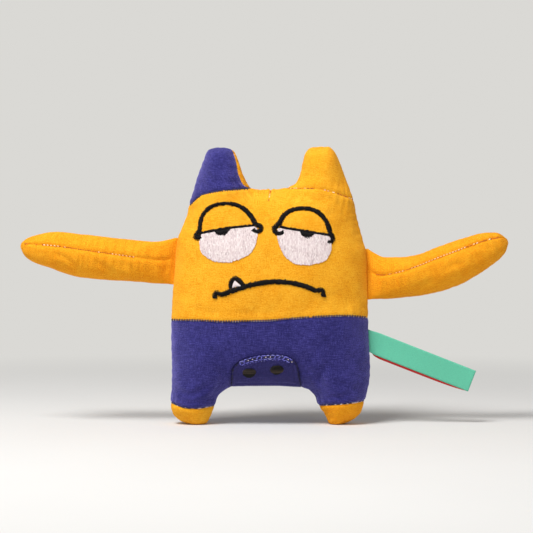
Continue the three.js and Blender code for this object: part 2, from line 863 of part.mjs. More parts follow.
// Rows of an arm: [station, half height in armHalfHeight, half depth in armHalfDepth]
const armShares = [
  [0, 1, armRootHalfDepth / armHalfDepth],
  [0.05, 0.985, 0.35],
  [0.1, 0.965, 0.6],
  [0.2, 0.95, 0.86],
  [0.33, 0.955, 0.98],
  [0.54, 1, 1],
  [0.66, 0.97, 0.97],
  [0.77, 0.84, 0.86],
  [0.86, 0.66, 0.7],
  [0.925, 0.49, 0.52],
  [0.97, 0.28, 0.3],
  [1, 0.05, 0.06],
];
const armStationShares = [0, 0.04, 0.08, 0.13, 0.2, 0.3, 0.42, 0.54, 0.66, 0.77, 0.86, 0.925, 0.97, 1];
const rootFlareShare = 0.1;
const straightenShare = 0.15;
const rollShare = 0.5;
const rootReachShare = 1.05;
const rootLipShare = 0.85;
const armSides = 12;
const arms = {
  left: { low: "shoulderLowLeft", high: "shoulderHighLeft", side: -1, bend: leftBendShares },
  right: { low: "shoulderLowRight", high: "shoulderHighRight", side: 1, bend: rightBendShares },
};

// One column of a table at a station, on a smooth curve through its rows
function tableValue(rows, station, column) {
  const slope = (i) => {
    const [a, b] = [rows[Math.max(0, i - 1)], rows[Math.min(rows.length - 1, i + 1)]];
    return (b[column] - a[column]) / (b[0] - a[0]);
  };
  let i = 0;
  while (i < rows.length - 2 && rows[i + 1][0] < station) i++;
  const span = rows[i + 1][0] - rows[i][0];
  const t = THREE.MathUtils.clamp((station - rows[i][0]) / span, 0, 1);
  const [start, end] = [rows[i][column], rows[i + 1][column]];
  const bend = span * (slope(i) * t * (1 - t) ** 2 - slope(i + 1) * t ** 2 * (1 - t));
  return start + (end - start) * t * t * (3 - 2 * t) + bend;
}

// An arm starts at the line that it swings about, which runs along the side seam of the body.
for (const [name, arm] of Object.entries(arms)) {
  const [low, high] = [rimPoint(anchor[arm.low]), rimPoint(anchor[arm.high])];
  const between = rimPoint((anchor[arm.low] + anchor[arm.high]) / 2);
  arm.rootUp = new THREE.Vector3(high.x - low.x, 0, high.z - low.z).normalize();
  arm.out = new THREE.Vector3(arm.rootUp.z, 0, -arm.rootUp.x).multiplyScalar(arm.side);
  arm.rootHalfHeight = (Math.hypot(high.x - low.x, high.z - low.z) / 2) * rootReachShare;
  arm.root = flat([between.x, between.z]).addScaledVector(arm.out, sewnGap + armRootHalfDepth);
  const points = arm.bend.map(([out, up]) =>
    arm.root.clone().add(flat([arm.side * out * armLength, up * armLength])),
  );
  arm.curve = new THREE.CatmullRomCurve3([arm.root, ...points], false, "centripetal");
  arm.roll = THREE.MathUtils.degToRad(armRolls[name]);
}

// A cross-section of an arm, pulled in by the depth of what lies over it
function armSection(arm, station, depth) {
  const share = station * (1 - depth / armLength);
  const along = arm.curve.getTangentAt(share);
  const square = new THREE.Vector3(-along.z, 0, along.x).multiplyScalar(arm.side);
  const straight = THREE.MathUtils.smoothstep(share, 0, straightenShare);
  const flare = Math.max(0, 1 - share / rootFlareShare) ** 2;
  const high = armHalfHeight * tableValue(armShares, share, 1);
  const least = sewnGap / 2;
  return {
    middle: arm.curve.getPointAt(share),
    along,
    up: arm.rootUp.clone().lerp(square, straight).normalize(),
    high: Math.max(least, high + (arm.rootHalfHeight - armHalfHeight) * flare - depth),
    deep: Math.max(least, armHalfDepth * tableValue(armShares, share, 2) - depth),
    roll: arm.roll * THREE.MathUtils.smoothstep(share, 0, rollShare),
  };
}
const armPoint = ({ middle, up, high, deep }, angle) =>
  middle
    .clone()
    .addScaledVector(up, high * Math.sin(angle))
    .setY(-deep * Math.cos(angle));

// The two panels of an arm meet in a seam along its front and one along its back. At the root the
// arm is pinched flat and rounded, so that it can swing against the body.
function armPanel(arm, half) {
  const skin = (depth) => {
    const row = (section) => {
      const trim = sewnGap / 2 / section.high;
      const start = section.roll + (half === "upper" ? 0 : Math.PI);
      return steps(armSides / 2).map((share) =>
        armPoint(section, start + lerp(trim, Math.PI - trim, share)),
      );
    };
    const root = armSection(arm, 0, depth);
    const lip = {
      ...root,
      middle: root.middle.clone().addScaledVector(arm.out, -rootLipShare * armRootHalfDepth),
      deep: Math.max(sewnGap / 2, armRootHalfDepth * Math.sqrt(1 - rootLipShare ** 2) - depth),
    };
    return [row(lip), ...armStationShares.map((station) => row(armSection(arm, station, depth)))];
  };
  return slab(skin(0), skin(clothThickness));
}

// Stuffing of an arm, in a root piece and an outer piece. Their ends at the lift hinge slope away
// from it above and below, to leave room for the lift.
const rootPadShares = [0.045, 0.07, 0.1, armHingeShare];
const outerPadShares = [armHingeShare, 0.2, 0.3, 0.42, 0.54, 0.66, 0.77, 0.86, 0.925, 0.96];
function armPad(arm, stations, hingeFirst) {
  const slope = Math.tan((armLiftAngle + spareAngle) / 2);
  const rings = stations.map((station) => {
    const section = armSection(arm, station, stuffingDepth);
    return steps(armSides)
      .slice(1)
      .map((share) => {
        const point = armPoint(section, 2 * Math.PI * share);
        if (station !== armHingeShare) return point;
        const back = stuffingClearance / 2 + section.high * Math.abs(Math.sin(2 * Math.PI * share)) * slope;
        return point.addScaledVector(section.along, hingeFirst ? back : -back);
      });
  });
  return tube(rings);
}
for (const [name, arm] of Object.entries(arms)) {
  for (const half of ["upper", "lower"])
    addPiece(`arm_${name}_${half}`, armPanel(arm, half), yellowCloth);
  addPiece(`arm_${name}_root_stuffing`, armPad(arm, rootPadShares, false), fibre);
  addPiece(`arm_${name}_stuffing`, armPad(arm, outerPadShares, true), fibre);
}

// Side tag: one ribbon that leaves the right side seam, folds back at its far end and returns
const layerSteps = 10;
const foldSteps = 6;
const tagFoldPower = 4;
function sideTag() {
  const seamX = [-tagWidth / 2, tagWidth / 2].map(
    (rise) => rimPoint(placeAtHeight("hipRight", "waistRight", tagHeight + rise)).x,
  );
  const layerOut = (ribbonThickness + sewnGap) / 2;
  const rootX = Math.max(...seamX) + sewnGap + layerOut + ribbonThickness / 2;
  const start = flat([rootX, tagHeight]);
  const slope = new THREE.Vector3(Math.cos(tagSlope), 0, -Math.sin(tagSlope));
  const upright = new THREE.Vector3(0, 0, 1);
  const square = new THREE.Vector3(Math.sin(tagSlope), 0, Math.cos(tagSlope));
  const ring = (distance, side, out, droop) => {
    const wide = upright.clone().lerp(square, THREE.MathUtils.smoothstep(distance, 0, tagTurnLength));
    const middle = start.clone().addScaledVector(slope, distance);
    middle.set(middle.x, side, middle.z - droop);
    const half = wide.normalize().multiplyScalar(tagWidth / 2);
    const thick = out.clone().multiplyScalar(ribbonThickness / 2);
    const corner = (a, b) => middle.clone().addScaledVector(half, a).addScaledVector(thick, b);
    return [corner(-1, -1), corner(-1, 1), corner(1, 1), corner(1, -1)];
  };
  const foldStart = tagLength - tagFoldRadius;
  const apart = (share) => lerp(layerOut, tagFoldRadius, share ** tagFoldPower);
  const front = steps(layerSteps).map((share) =>
    ring(share * foldStart, -apart(share), new THREE.Vector3(0, -1, 0), 0),
  );
  const fold = steps(foldSteps)
    .slice(1, -1)
    .map((share) => {
      const angle = Math.PI * share;
      const out = new THREE.Vector3(0, -Math.cos(angle), 0).addScaledVector(slope, Math.sin(angle));
      const distance = foldStart + tagFoldRadius * Math.sin(angle);
      return ring(distance, -tagFoldRadius * Math.cos(angle), out, 0);
    });
  const back = steps(layerSteps)
    .reverse()
    .map((share) => {
      const droop = tagDroop * Math.sin(Math.PI * share);
      return ring(share * foldStart, apart(share), new THREE.Vector3(0, 1, 0), droop);
    });
  return tube([...front, ...fold, ...back]);
}
addPiece("side_tag", sideTag(), ribbon);

// A laid-on piece of the front, between two heights above the cloth
function appliqueFace(grid, height) {
  return grid.map((row) => row.map((spot) => bodyPoint(spot, -1, height)));
}
const applique = (grid, base, rise) => slab(appliqueFace(grid, base + rise), appliqueFace(grid, base));

// The nose patch over the crotch, as [across, up] in its half width and its rise
const patchCentreShare = -0.036;
const patchTopShares = [
  [-0.987, 0.5],
  [-0.787, 0.79],
  [-0.413, 0.925],
  [-0.035, 1],
  [0.343, 0.98],
  [0.674, 0.895],
  [0.887, 0.714],
  [0.978, 0.456],
];
const patchColumns = 12;
const patchRows = 6;
const patchArchShares = [0.04, 0.93];
const nostrils = {
  left: [-0.49, 0.405],
  right: [0.322, 0.51],
};
const patchPoint = ([across, up]) => [
  patchCentreShare * halfWidth + across * patchHalfWidth,
  archHeight + up * patchRise,
];
function patchGridSpots() {
  const arch = reversed(rimRun("groinRight", "groinLeft"));
  const bottom = steps(patchColumns).map((share) => {
    const { x, z, out } = arch(lerp(...patchArchShares, share));
    return { x: x - out.x * patchEdgeWidth, z: z - out.z * patchEdgeWidth };
  });
  const curve = new THREE.CatmullRomCurve3(patchTopShares.map(patchPoint).map(flat), false, "centripetal");
  const top = steps(patchColumns).map((share) => {
    const point = curve.getPointAt(share);
    return { x: point.x, z: point.z };
  });
  const edgeRun = (end) => (share) => ({
    x: lerp(bottom.at(end).x, top.at(end).x, share),
    z: lerp(bottom.at(end).z, top.at(end).z, share),
  });
  return patchGrid(bottom, top, edgeRun(0), edgeRun(-1), crowdStart(patchRows));
}
addPiece("nose_patch", applique(patchGridSpots(), patchGap, patchThickness), felt);

// An embroidered oval
const ovalSides = 16;
const ovalRingShares = [0.5, 1];
function oval(spot, halfAcross, halfUp, base, rise) {
  const ring = (share, height) =>
    steps(ovalSides)
      .slice(1)
      .map((turn) => {
        const angle = 2 * Math.PI * turn;
        const x = spot.x + share * halfAcross * Math.cos(angle);
        return bodyPoint({ x, z: spot.z + share * halfUp * Math.sin(angle) }, -1, height);
      });
  const outside = ovalRingShares.map((share) => ring(share, base + rise));
  const inside = ovalRingShares.map((share) => ring(share, base));
  return tube([...outside, ...inside.reverse()]);
}
for (const [name, shares] of Object.entries(nostrils)) {
  const [x, z] = patchPoint(shares);
  const base = patchGap + patchThickness + sewnGap;
  const nostril = oval({ x, z }, nostrilHalfWidth, nostrilHalfHeight, base, threadRise);
  addPiece(`nostril_${name}`, nostril, blackThread);
}

// An embroidered line along spots of the front. Its section is flat below and narrower on top.
const lineTopShare = 0.55;
function line(spots, width, count, base = sewnGap, rise = threadRise, topShare = lineTopShare) {
  const curve = new THREE.CatmullRomCurve3(spots.map(flat), false, "centripetal");
  const rings = steps(count).map((share) => {
    const point = curve.getPointAt(share);
    const along = curve.getTangentAt(share);
    const at = (across, height) => {
      const move = (across * width) / 2;
      return bodyPoint({ x: point.x - along.z * move, z: point.z + along.x * move }, -1, height);
    };
    return [at(-1, base), at(-topShare, base + rise), at(topShare, base + rise), at(1, base)];
  });
  return tube(rings);
}

// The same line, grown by the sewn gap, for cutting what lies under it
const cutBase = -overrun / 2;
const lineCutter = (spots, width, count) =>
  toSolid(line(spots, width + 2 * sewnGap, count, cutBase, overrun, 1));

// Eyes, in shares of the eye sizes, and their tilts in degrees. Curl rows go outwards and up from the
// end of the upper line, in curlRadius.
const eyeTilts = { left: 8.5, right: -9.8 };
const eyes = {
  left: { side: -1, middle: [-0.425, 0.69], size: 1.063, rise: 1.047, white: 1.036, pupil: -0.2 },
  right: { side: 1, middle: [0.357, 0.676], size: 0.937, rise: 0.935, white: 0.958, pupil: 0.1 },
};
const innerCurlShares = [
  [1.2, -0.1],
  [1.85, -0.8],
  [1.2, -1.7],
  [0.1, -1.85],
  [-0.9, -1.35],
];
const outerCurlShares = [
  [0.75, -0.85],
  [0.85, -1.6],
  [0.2, -1.95],
];
const arcSteps = 8;
const lidSteps = 4;
const eyeLineSteps = 40;
const whiteColumns = 14;
const whiteRows = 3;
const pupilRows = 2;
for (const [name, eye] of Object.entries(eyes)) {
  const [middleX, middleZ] = highPoint(eye.middle);
  const tilt = THREE.MathUtils.degToRad(eyeTilts[name]);
  const local = (across, up) => [
    middleX + across * Math.cos(tilt) - up * Math.sin(tilt),
    middleZ + across * Math.sin(tilt) + up * Math.cos(tilt),
  ];
  const lidHalf = eye.size * eyeHalfWidth;
  const towardNose = -eye.side;
  const curl = (rows, direction) =>
    rows.map(([out, up]) =>
      local(direction * (lidHalf + out * curlRadius), up * curlRadius),
    );
  const arc = steps(arcSteps).map((share) => {
    const angle = Math.PI * share;
    return local(-towardNose * lidHalf * Math.cos(angle), eye.rise * eyeRise * Math.sin(angle));
  });
  const eyeOutline = [
    ...curl(outerCurlShares, -towardNose).reverse(),
    ...arc,
    ...curl(innerCurlShares, towardNose),
  ];
  addPiece(`eye_line_${name}`, line(eyeOutline, lineWidth, eyeLineSteps), blackThread);

  const lidEnd = lidHalf - lineWidth / 2 - sewnGap;
  const lid = steps(lidSteps).map((share) => local(lerp(-lidEnd, lidEnd, share), 0));
  addPiece(`lid_line_${name}`, line(lid, lidWidth, whiteColumns), blackThread);

  const below = -lidWidth / 2 - sewnGap;
  const halfOval = (middle, half, drop, base, rise, columns, rows) =>
    applique(
      steps(rows).map((down) =>
        crowdBoth(columns).map((share) => {
          const across = half * (2 * share - 1);
          const reach = drop * Math.sqrt(Math.max(0, 1 - (across / half) ** 2));
          const [x, z] = local(middle + across, below - down * reach);
          return { x, z };
        }),
      ),
      base,
      rise,
    );
  const pupilMiddle = eye.pupil * lidHalf;
  addPiece(
    `pupil_${name}`,
    halfOval(pupilMiddle, pupilHalfWidth, pupilDrop, sewnGap, threadRise, whiteColumns / 2, pupilRows),
    blackThread,
  );
  const pupilCut = oval(
    { x: local(pupilMiddle, below)[0], z: local(pupilMiddle, below)[1] },
    pupilHalfWidth + sewnGap,
    pupilDrop + sewnGap,
    cutBase,
    overrun,
  );
  const whiteHalf = eye.white * whiteHalfWidth;
  const white = halfOval(0, whiteHalf, whiteDrop, sewnGap, whiteRise, whiteColumns, whiteRows);
  const cut = toSolid(white)
    .subtract(toSolid(pupilCut))
    .subtract(lineCutter(eyeOutline, lineWidth, eyeLineSteps));
  addPiece(`eye_white_${name}`, toGeometry(cut), whiteThread);
}

// Mouth and fang, as [across, up] in halfWidth and from waist to head top
const mouthShares = [
  [-0.543, 0.159],
  [-0.54, 0.202],
  [-0.51, 0.208],
  [-0.478, 0.191],
  [-0.41, 0.2125],
  [-0.27, 0.243],
  [-0.128, 0.274],
  [0.031, 0.2875],
  [0.193, 0.282],
  [0.352, 0.256],
  [0.466, 0.224],
  [0.502, 0.239],
  [0.531, 0.224],
  [0.537, 0.167],
];
const fangLineShares = [
  [-0.394, 0.233],
  [-0.382, 0.3],
  [-0.351, 0.324],
  [-0.309, 0.3],
  [-0.254, 0.249],
];
const fangShares = [
  [-0.372, 0.2535],
  [-0.31, 0.2595],
  [-0.346, 0.291],
];
const mouthSteps = 30;
const fangSteps = 10;
const mouth = mouthShares.map(highPoint);
addPiece("mouth_line", line(mouth, mouthWidth, mouthSteps), blackThread);
const fangLine = toSolid(line(fangLineShares.map(highPoint), fangWidth, fangSteps));
addPiece(
  "fang_line",
  toGeometry(fangLine.subtract(lineCutter(mouth, mouthWidth, mouthSteps))),
  blackThread,
);
const [fangLeft, fangRight, fangTip] = fangShares.map(highPoint).map(([x, z]) => ({ x, z }));
addPiece("fang", applique([[fangLeft, fangRight], [fangTip, fangTip]], sewnGap, whiteRise), whiteThread);

// The span of the arms is centred over the origin.
const wholeBox = new THREE.Box3().setFromObject(toy);
toy.position.x = -(wholeBox.min.x + wholeBox.max.x) / 2;
toy.updateMatrixWorld(true);
export default toy;
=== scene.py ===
"""The looks of a stuffed cloth monster toy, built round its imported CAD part.

Sizes and tables are in millimetres, as in the part, and lie about the middle of the body.
"""

import math

import bmesh
import bpy
import numpy as np
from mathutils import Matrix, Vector
from mathutils.bvhtree import BVHTree
from mathutils.kdtree import KDTree


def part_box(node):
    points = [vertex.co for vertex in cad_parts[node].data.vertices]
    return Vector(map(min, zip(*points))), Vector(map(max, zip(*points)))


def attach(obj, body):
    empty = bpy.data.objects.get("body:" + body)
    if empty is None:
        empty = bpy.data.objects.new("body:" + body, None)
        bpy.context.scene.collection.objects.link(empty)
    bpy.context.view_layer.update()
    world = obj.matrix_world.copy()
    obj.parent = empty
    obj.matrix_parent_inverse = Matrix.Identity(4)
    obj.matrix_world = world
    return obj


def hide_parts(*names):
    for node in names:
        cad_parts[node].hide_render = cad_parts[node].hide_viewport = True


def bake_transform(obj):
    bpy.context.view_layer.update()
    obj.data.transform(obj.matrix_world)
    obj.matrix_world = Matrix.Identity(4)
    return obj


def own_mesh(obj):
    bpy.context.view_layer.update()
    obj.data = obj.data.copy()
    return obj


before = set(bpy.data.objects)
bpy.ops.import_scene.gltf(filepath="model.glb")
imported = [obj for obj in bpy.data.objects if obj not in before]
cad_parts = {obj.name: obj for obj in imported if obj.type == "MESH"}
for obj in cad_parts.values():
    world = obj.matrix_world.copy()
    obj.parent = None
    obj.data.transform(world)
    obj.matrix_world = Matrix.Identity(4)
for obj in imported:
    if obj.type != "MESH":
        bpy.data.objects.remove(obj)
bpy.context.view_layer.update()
scene = bpy.context.scene
rng = np.random.default_rng(7)
MM = 0.001
SHIFT = 3.501  # from the middle of the body to the middle of the whole span
SIDES = {"left": -1, "right": 1}

# Sizes of the part
HEAD_TOP, HORN_RISE, HALF_WIDTH = 159.5, 28.5, 67.0
WAIST, ARCH, ANKLE, SOLE_SINK = 71.5, 26.0, 13.5, 3.0
LEG_SPREAD, LEG_HALF, HORN_SPREAD, HORN_HALF = 50.5, 15.0, 34.0, 20.0
RIM_RADIUS, FULL_DEPTH = 10.5, 36.0
ARM_LENGTH, ARM_HIGH, ARM_DEEP, ARM_ROOT_DEEP, HINGE_SHARE = 102.0, 14.8, 12.5, 1.15, 0.13
PATCH_HALF, PATCH_RISE, PATCH_MIDDLE = 23.0, 21.0, -0.036
TAG_LENGTH, TAG_WIDTH, TAG_START, TAG_HEIGHT, TAG_SLOPE = 74.0, 15.1, 68.82, 56.0, math.radians(21.4)
BLADDER_RADIUS, BLADDER_HALF, NECK_LENGTH, NECK_RADIUS, NECK_BORE, BLADDER_WALL = 21.0, 10.0, 4.5, 5.45, 4.45, 1.0

# Sizes of the scene alone
HORN_TWIST, TWIST_RISE, TWIST_SWELL = math.radians(18.5), 13.0, 0.05
HORN_BEND, ARM_BEND, SHOULDER_BEND, SHOULDER_END = 9.0, (9.0, 11.0), (-1.3, 3.4), 0.04
GROOVE_WIDTH, SOLE_SOFT, STUFFING_DEPTH = 0.9, 0.6, 3.2
PRESSURE, CLOTH_FRAMES, BAG_SHRINK = 4.0, 20, 0.4
RIBBON, TAG_ROOT, FOLD_RADIUS = 0.35, 2.2, 0.9


def placer(x, wide, z, tall, side=1):
    """Turns a row of shares into a point"""
    return lambda row: [side * (x + row[0] * wide), z + row[1] * tall]


low_point = placer(0, HALF_WIDTH, ARCH, WAIST - ARCH)
high_point = placer(0, HALF_WIDTH, WAIST, HEAD_TOP - WAIST)
crotch_point = placer(0, HALF_WIDTH, 0, ARCH)
patch_point = placer(PATCH_MIDDLE * HALF_WIDTH, PATCH_HALF, ARCH, PATCH_RISE)
horn_point = {s: placer(HORN_SPREAD, HORN_HALF, HEAD_TOP, HORN_RISE, s) for s in (-1, 1)}
foot_point = {s: placer(LEG_SPREAD, LEG_HALF, 0, ANKLE, s) for s in (-1, 1)}
SOLE = -SOLE_SINK / ANKLE

# The sewn edge, as in the part: [across, up, name] in shares of the sizes above
OUTLINE = [
    (low_point, [[-0.99, 0.01, "hipLeft"], [-0.99, 0.275], [-0.996, 0.716], [-0.993, 0.978, "waistLeft"]]),
    (high_point, [
        [-0.988, 0.114], [-0.976, 0.268, "shoulderLowLeft"], [-0.931, 0.611, "shoulderHighLeft"],
        [-0.882, 0.709], [-0.831, 0.816], [-0.813, 0.881, "hornBaseLeft"],
    ]),
    (horn_point[-1], [
        [0.78, 0.186], [0.545, 0.618], [0.395, 0.888, "tipOuterLeft"], [0.315, 0.958], [-0.025, 0.993],
        [-0.345, 0.958], [-0.485, 0.881, "tipInnerLeft"], [-0.62, 0.667], [-0.795, 0.326],
        [-1.065, 0.025, "hornInnerLeft"],
    ]),
    (high_point, [[0, 1]]),
    (horn_point[1], [
        [-1.12, 0.032, "hornInnerRight"], [-0.83, 0.13], [-0.65, 0.375], [-0.55, 0.705],
        [-0.41, 0.937, "tipInnerRight"], [-0.22, 1], [0.075, 1.01], [0.35, 1],
        [0.465, 0.93, "tipOuterRight"], [0.62, 0.754], [0.855, 0.326],
    ]),
    (high_point, [
        [0.846, 0.92, "hornBaseRight"], [0.884, 0.785], [0.943, 0.618], [0.975, 0.526, "shoulderHighRight"],
        [0.996, 0.152, "shoulderLowRight"],
    ]),
    (low_point, [[0.997, 1.015, "waistRight"], [1.004, 0.716], [1.019, 0.275], [1.004, 0.01, "hipRight"]]),
    (foot_point[1], [
        [0.92, 1.178, "ankleOuterRight"], [0.72, 0.511], [0, 0, "soleOuterRight"], [-0.31, SOLE],
        [-0.62, 0, "soleInnerRight"], [-0.893, 0.556], [-1.12, 0.956, "ankleInnerRight"],
    ]),
    (crotch_point, [
        [0.442, 0.804, "thighRight"], [0.363, 0.935, "groinRight"], [0.194, 0.98], [-0.009, 1],
        [-0.254, 0.992], [-0.41, 0.954, "groinLeft"], [-0.521, 0.73, "thighLeft"],
    ]),
    (foot_point[-1], [
        [-0.873, 0.933, "ankleInnerLeft"], [-0.68, 0.356], [-0.46, 0, "soleInnerLeft"], [-0.087, SOLE],
        [0.34, 0, "soleOuterLeft"], [0.985, 0.47], [1.085, 1.096, "ankleOuterLeft"],
    ]),
]
WAIST_SEAM = [
    [-0.73, 0.982], [-0.49, 0.969], [-0.24, 0.974], [0, 0.985], [0.24, 1.015], [0.49, 1.04], [0.73, 1.05], [0.87, 1.04],
]
HORN_SEAMS = {"left": [[-0.691, 0.953], [-0.551, 0.976], [-0.41, 0.989]], "right": [[0.493, 0.994], [0.654, 0.966]]}
ANKLE_SEAMS = {"left": [[0.607, 0.919], [-0.113, 0.844]], "right": [[-0.467, 1.059], [0.253, 1.119]]}
# Anchors along the rim, from one end of the seam to the other
HORN_CORNERS = {
    "left": ("hornBaseLeft", "tipOuterLeft", "tipInnerLeft", "hornInnerLeft"),
    "right": ("hornInnerRight", "tipInnerRight", "tipOuterRight", "hornBaseRight"),
}
FOOT_CORNERS = {
    "left": ("soleOuterLeft", "ankleOuterLeft", "ankleInnerLeft", "soleInnerLeft"),
    "right": ("soleInnerRight", "ankleInnerRight", "ankleOuterRight", "soleOuterRight"),
}


def unit(vectors):
    return vectors / (np.linalg.norm(vectors, axis=-1)[..., None] + 1e-12)


def square_to(along):
    """Directions a quarter turn from flat directions"""
    return np.column_stack([-along[:, 1], along[:, 0]])


def smoothstep(x, low, high):
    t = np.clip((x - low) / (high - low), 0, 1)
    return t * t * (3 - 2 * t)


def even(count):
    return np.linspace(0, 1, count + 1)


def crowd_both(count):
    return (1 - np.cos(np.pi * even(count))) / 2


def crowd_start(count):
    return 1 - np.cos(np.pi * even(count) / 2)


def crowd_end(count):
    return np.sin(np.pi * even(count) / 2)


def kd_tree(points):
    tree = KDTree(len(points))
    for i, p in enumerate(points):
        tree.insert(p, i)
    tree.balance()
    return tree


class Curve:
    """A centripetal Catmull-Rom curve, as the part draws its edges and seams"""

    def __init__(self, points, closed=False):
        self.points, self.closed = np.array(points, float), closed
        self.count = len(self.points) if closed else len(self.points) - 1
        self.shares = even(40 * self.count)
        steps = np.linalg.norm(np.diff(self.at(self.shares), axis=0), axis=1)
        self.lengths = np.concatenate([[0], np.cumsum(steps)])
        self.length = self.lengths[-1]

    def at(self, share):
        place = np.atleast_1d(np.asarray(share, float)) * self.count
        p = self.points
        if self.closed:
            i = np.floor(place).astype(int)
            a, b, c, d = [p[(i + k) % self.count] for k in (-1, 0, 1, 2)]
        else:
            i = np.clip(np.floor(place).astype(int), 0, self.count - 1)
            p = np.vstack([2 * p[0] - p[1], p, 2 * p[-1] - p[-2]])
            a, b, c, d = [p[i + k] for k in range(4)]
        t = (place - i)[:, None]
        near, mid, far = [np.linalg.norm(v - u, axis=1)[:, None] ** 0.5 for u, v in ((a, b), (b, c), (c, d))]
        start = ((b - a) / near - (c - a) / (near + mid) + (c - b) / mid) * mid
        end = ((c - b) / mid - (d - b) / (mid + far) + (d - c) / far) * mid
        return b + start * t + (3 * (c - b) - 2 * start - end) * t**2 + (2 * (b - c) + start + end) * t**3

    def spaced(self, share):
        """Shares of the parameter at shares of the length"""
        return np.interp(np.asarray(share) * self.length, self.lengths, self.shares)

    def at_length(self, share):
        return self.at(self.spaced(share))

    def along(self, share):
        step = 1e-4
        return unit(self.at(np.minimum(1, share + step)) - self.at(np.maximum(0, share - step)))


outline, anchor = [], {}
for to_point, rows in OUTLINE:
    for row in rows:
        if len(row) > 2:
            anchor[row[2]] = len(outline)
        outline.append(to_point(row))
rim = Curve(outline, closed=True)


def rim_run(start, end):
    length = (anchor[end] - anchor[start]) % rim.count
    return lambda share: rim.at((anchor[start] + length * np.asarray(share)) / rim.count)


def backwards(run):
    return lambda share: run(1 - np.asarray(share))


def seam_run(start, rows, to_point, end):
    ends = rim.at(np.array([anchor[start], anchor[end]]) / rim.count)
    return Curve([ends[0], *[to_point(r) for r in rows], ends[1]]).at


waist_run = seam_run("waistLeft", WAIST_SEAM, low_point, "waistRight")
horn_runs = {k: seam_run(c[0], HORN_SEAMS[k], high_point, c[3]) for k, c in HORN_CORNERS.items()}
ankle_runs = {k: seam_run(c[1], ANKLE_SEAMS[k], foot_point[SIDES[k]], c[2]) for k, c in FOOT_CORNERS.items()}

edge = rim.at(np.arange(rim.count * 12) / (rim.count * 12))
TINY = 1e-6


def soft_distance(points):
    """Soft distance of each point from the sewn edge, negative outside, as in the part"""
    a, b = edge, np.roll(edge, -1, axis=0)
    length = np.linalg.norm(b - a, axis=1)
    ux, uz = ((b - a) / length[:, None]).T
    found = np.empty(len(points))
    for first in range(0, len(points), 4000):
        x, z = points[first : first + 4000].T[..., None]
        ax, az, bx, bz = a[:, 0] - x, a[:, 1] - z, b[:, 0] - x, b[:, 1] - z
        start = ax * ux + az * uz
        end = start + length
        far_a, far_b = np.hypot(ax, az) + TINY, np.hypot(bx, bz) + TINY
        off = (ax * uz - az * ux) ** 2 + TINY**2
        spread = far_a * far_b * (end * far_a + start * far_b)
        spread[np.abs(spread) < TINY] = TINY
        pull = np.where(start * end > 0, (end**2 - start**2) / spread, (end / far_b - start / far_a) / off).sum(1)
        with np.errstate(divide="ignore", invalid="ignore"):
            hit = ((az > 0) != (bz > 0)) & (ax - az * (bx - ax) / (bz - az) > 0)
        sign = np.where(hit.sum(1) % 2 == 1, 1, -1)
        found[first : first + 4000] = sign * np.sqrt(2 / np.maximum(pull, TINY))
    return found


def depth_squared(points):
    return FULL_DEPTH**2 * (1 - np.exp(-2 * RIM_RADIUS * soft_distance(points) / FULL_DEPTH**2))


def body_surface(points, side):
    """Places and outward normals of the stuffed body at points seen from the front"""
    points, step = np.asarray(points, float), 0.2
    half = np.sqrt(np.maximum(depth_squared(points), 0.01))
    slopes = [depth_squared(points + v * step) - depth_squared(points - v * step) for v in np.eye(2)]
    normals = unit(np.column_stack([-slopes[0], 4 * step * half * side, -slopes[1]]))
    return np.column_stack([points[:, 0], side * half, points[:, 1]]), normals


# Extra length of cloth between the middle of the body and a distance from its edge
distances = np.linspace(0.02, 70, 3000)
halves = FULL_DEPTH * np.sqrt(1 - np.exp(-2 * RIM_RADIUS * distances / FULL_DEPTH**2))
extra = np.sqrt(1 + np.gradient(halves, distances) ** 2) - 1
EXCESS = (distances, np.cumsum(extra[::-1])[::-1] * (distances[1] - distances[0]))


def unrolled(places, normals):
    """Flat cloth coordinates of places on the body"""
    squared = np.minimum(places[..., 1] ** 2, FULL_DEPTH**2 * 0.999)
    distance = -np.log(1 - squared / FULL_DEPTH**2) * FULL_DEPTH**2 / (2 * RIM_RADIUS)
    return places[..., [0, 2]] + normals[..., [0, 2]] * np.interp(distance, *EXCESS)[..., None]


def chain(*parts):
    """Points along several runs, one after the other, and which of them lie on the sewn edge"""
    points, on_rim = [], []
    for i, (run, shares, is_rim) in enumerate(parts):
        kept = shares if i == len(parts) - 1 else shares[:-1]
        points.append(run(kept))
        on_rim += [is_rim] * len(kept)
    return np.vstack(points), np.array(on_rim)


def facing(near, run):
    return run((near[:, 0] - near[0, 0]) / (near[-1, 0] - near[0, 0]))


def patch(bottom, top, left, right, shares):
    """A grid of points between a bottom and a top row and two side runs"""
    starts, ends = left(shares), right(shares)
    across = ((bottom[:, 0] - bottom[0, 0]) / (bottom[-1, 0] - bottom[0, 0]))[None, :, None]
    up = np.asarray(shares)[:, None, None]
    level = (1 - up) * bottom + up * top + (1 - across) * starts[:, None] + across * ends[:, None]
    low, high = [(1 - across) * row[0] + across * row[-1] for row in (bottom, top)]
    grid = level - (1 - up) * low - up * high
    grid[0], grid[-1], grid[:, 0], grid[:, -1] = bottom, top, starts, ends
    return grid


def masked(grid, bottom=False, top=False, left=True, right=True):
    """A grid, and which of its points lie on the sewn edge"""
    mask = np.zeros(grid.shape[:2], bool)
    mask[:, 0], mask[:, -1] = left, right
    mask[0] |= bottom
    mask[-1] |= top
    return grid, mask


# Noise that is smooth along a line or over a surface
def line_noise(length, pitch, seed):
    knots = np.random.default_rng(seed).uniform(-1, 1, int(length / pitch) + 3)
    return lambda s: np.interp(np.asarray(s) / pitch, np.arange(len(knots)), knots)


WAVES = [
    (np.random.default_rng(11 + k).normal(size=3), np.random.default_rng(51 + k).uniform(0, 6.28)) for k in range(24)
]


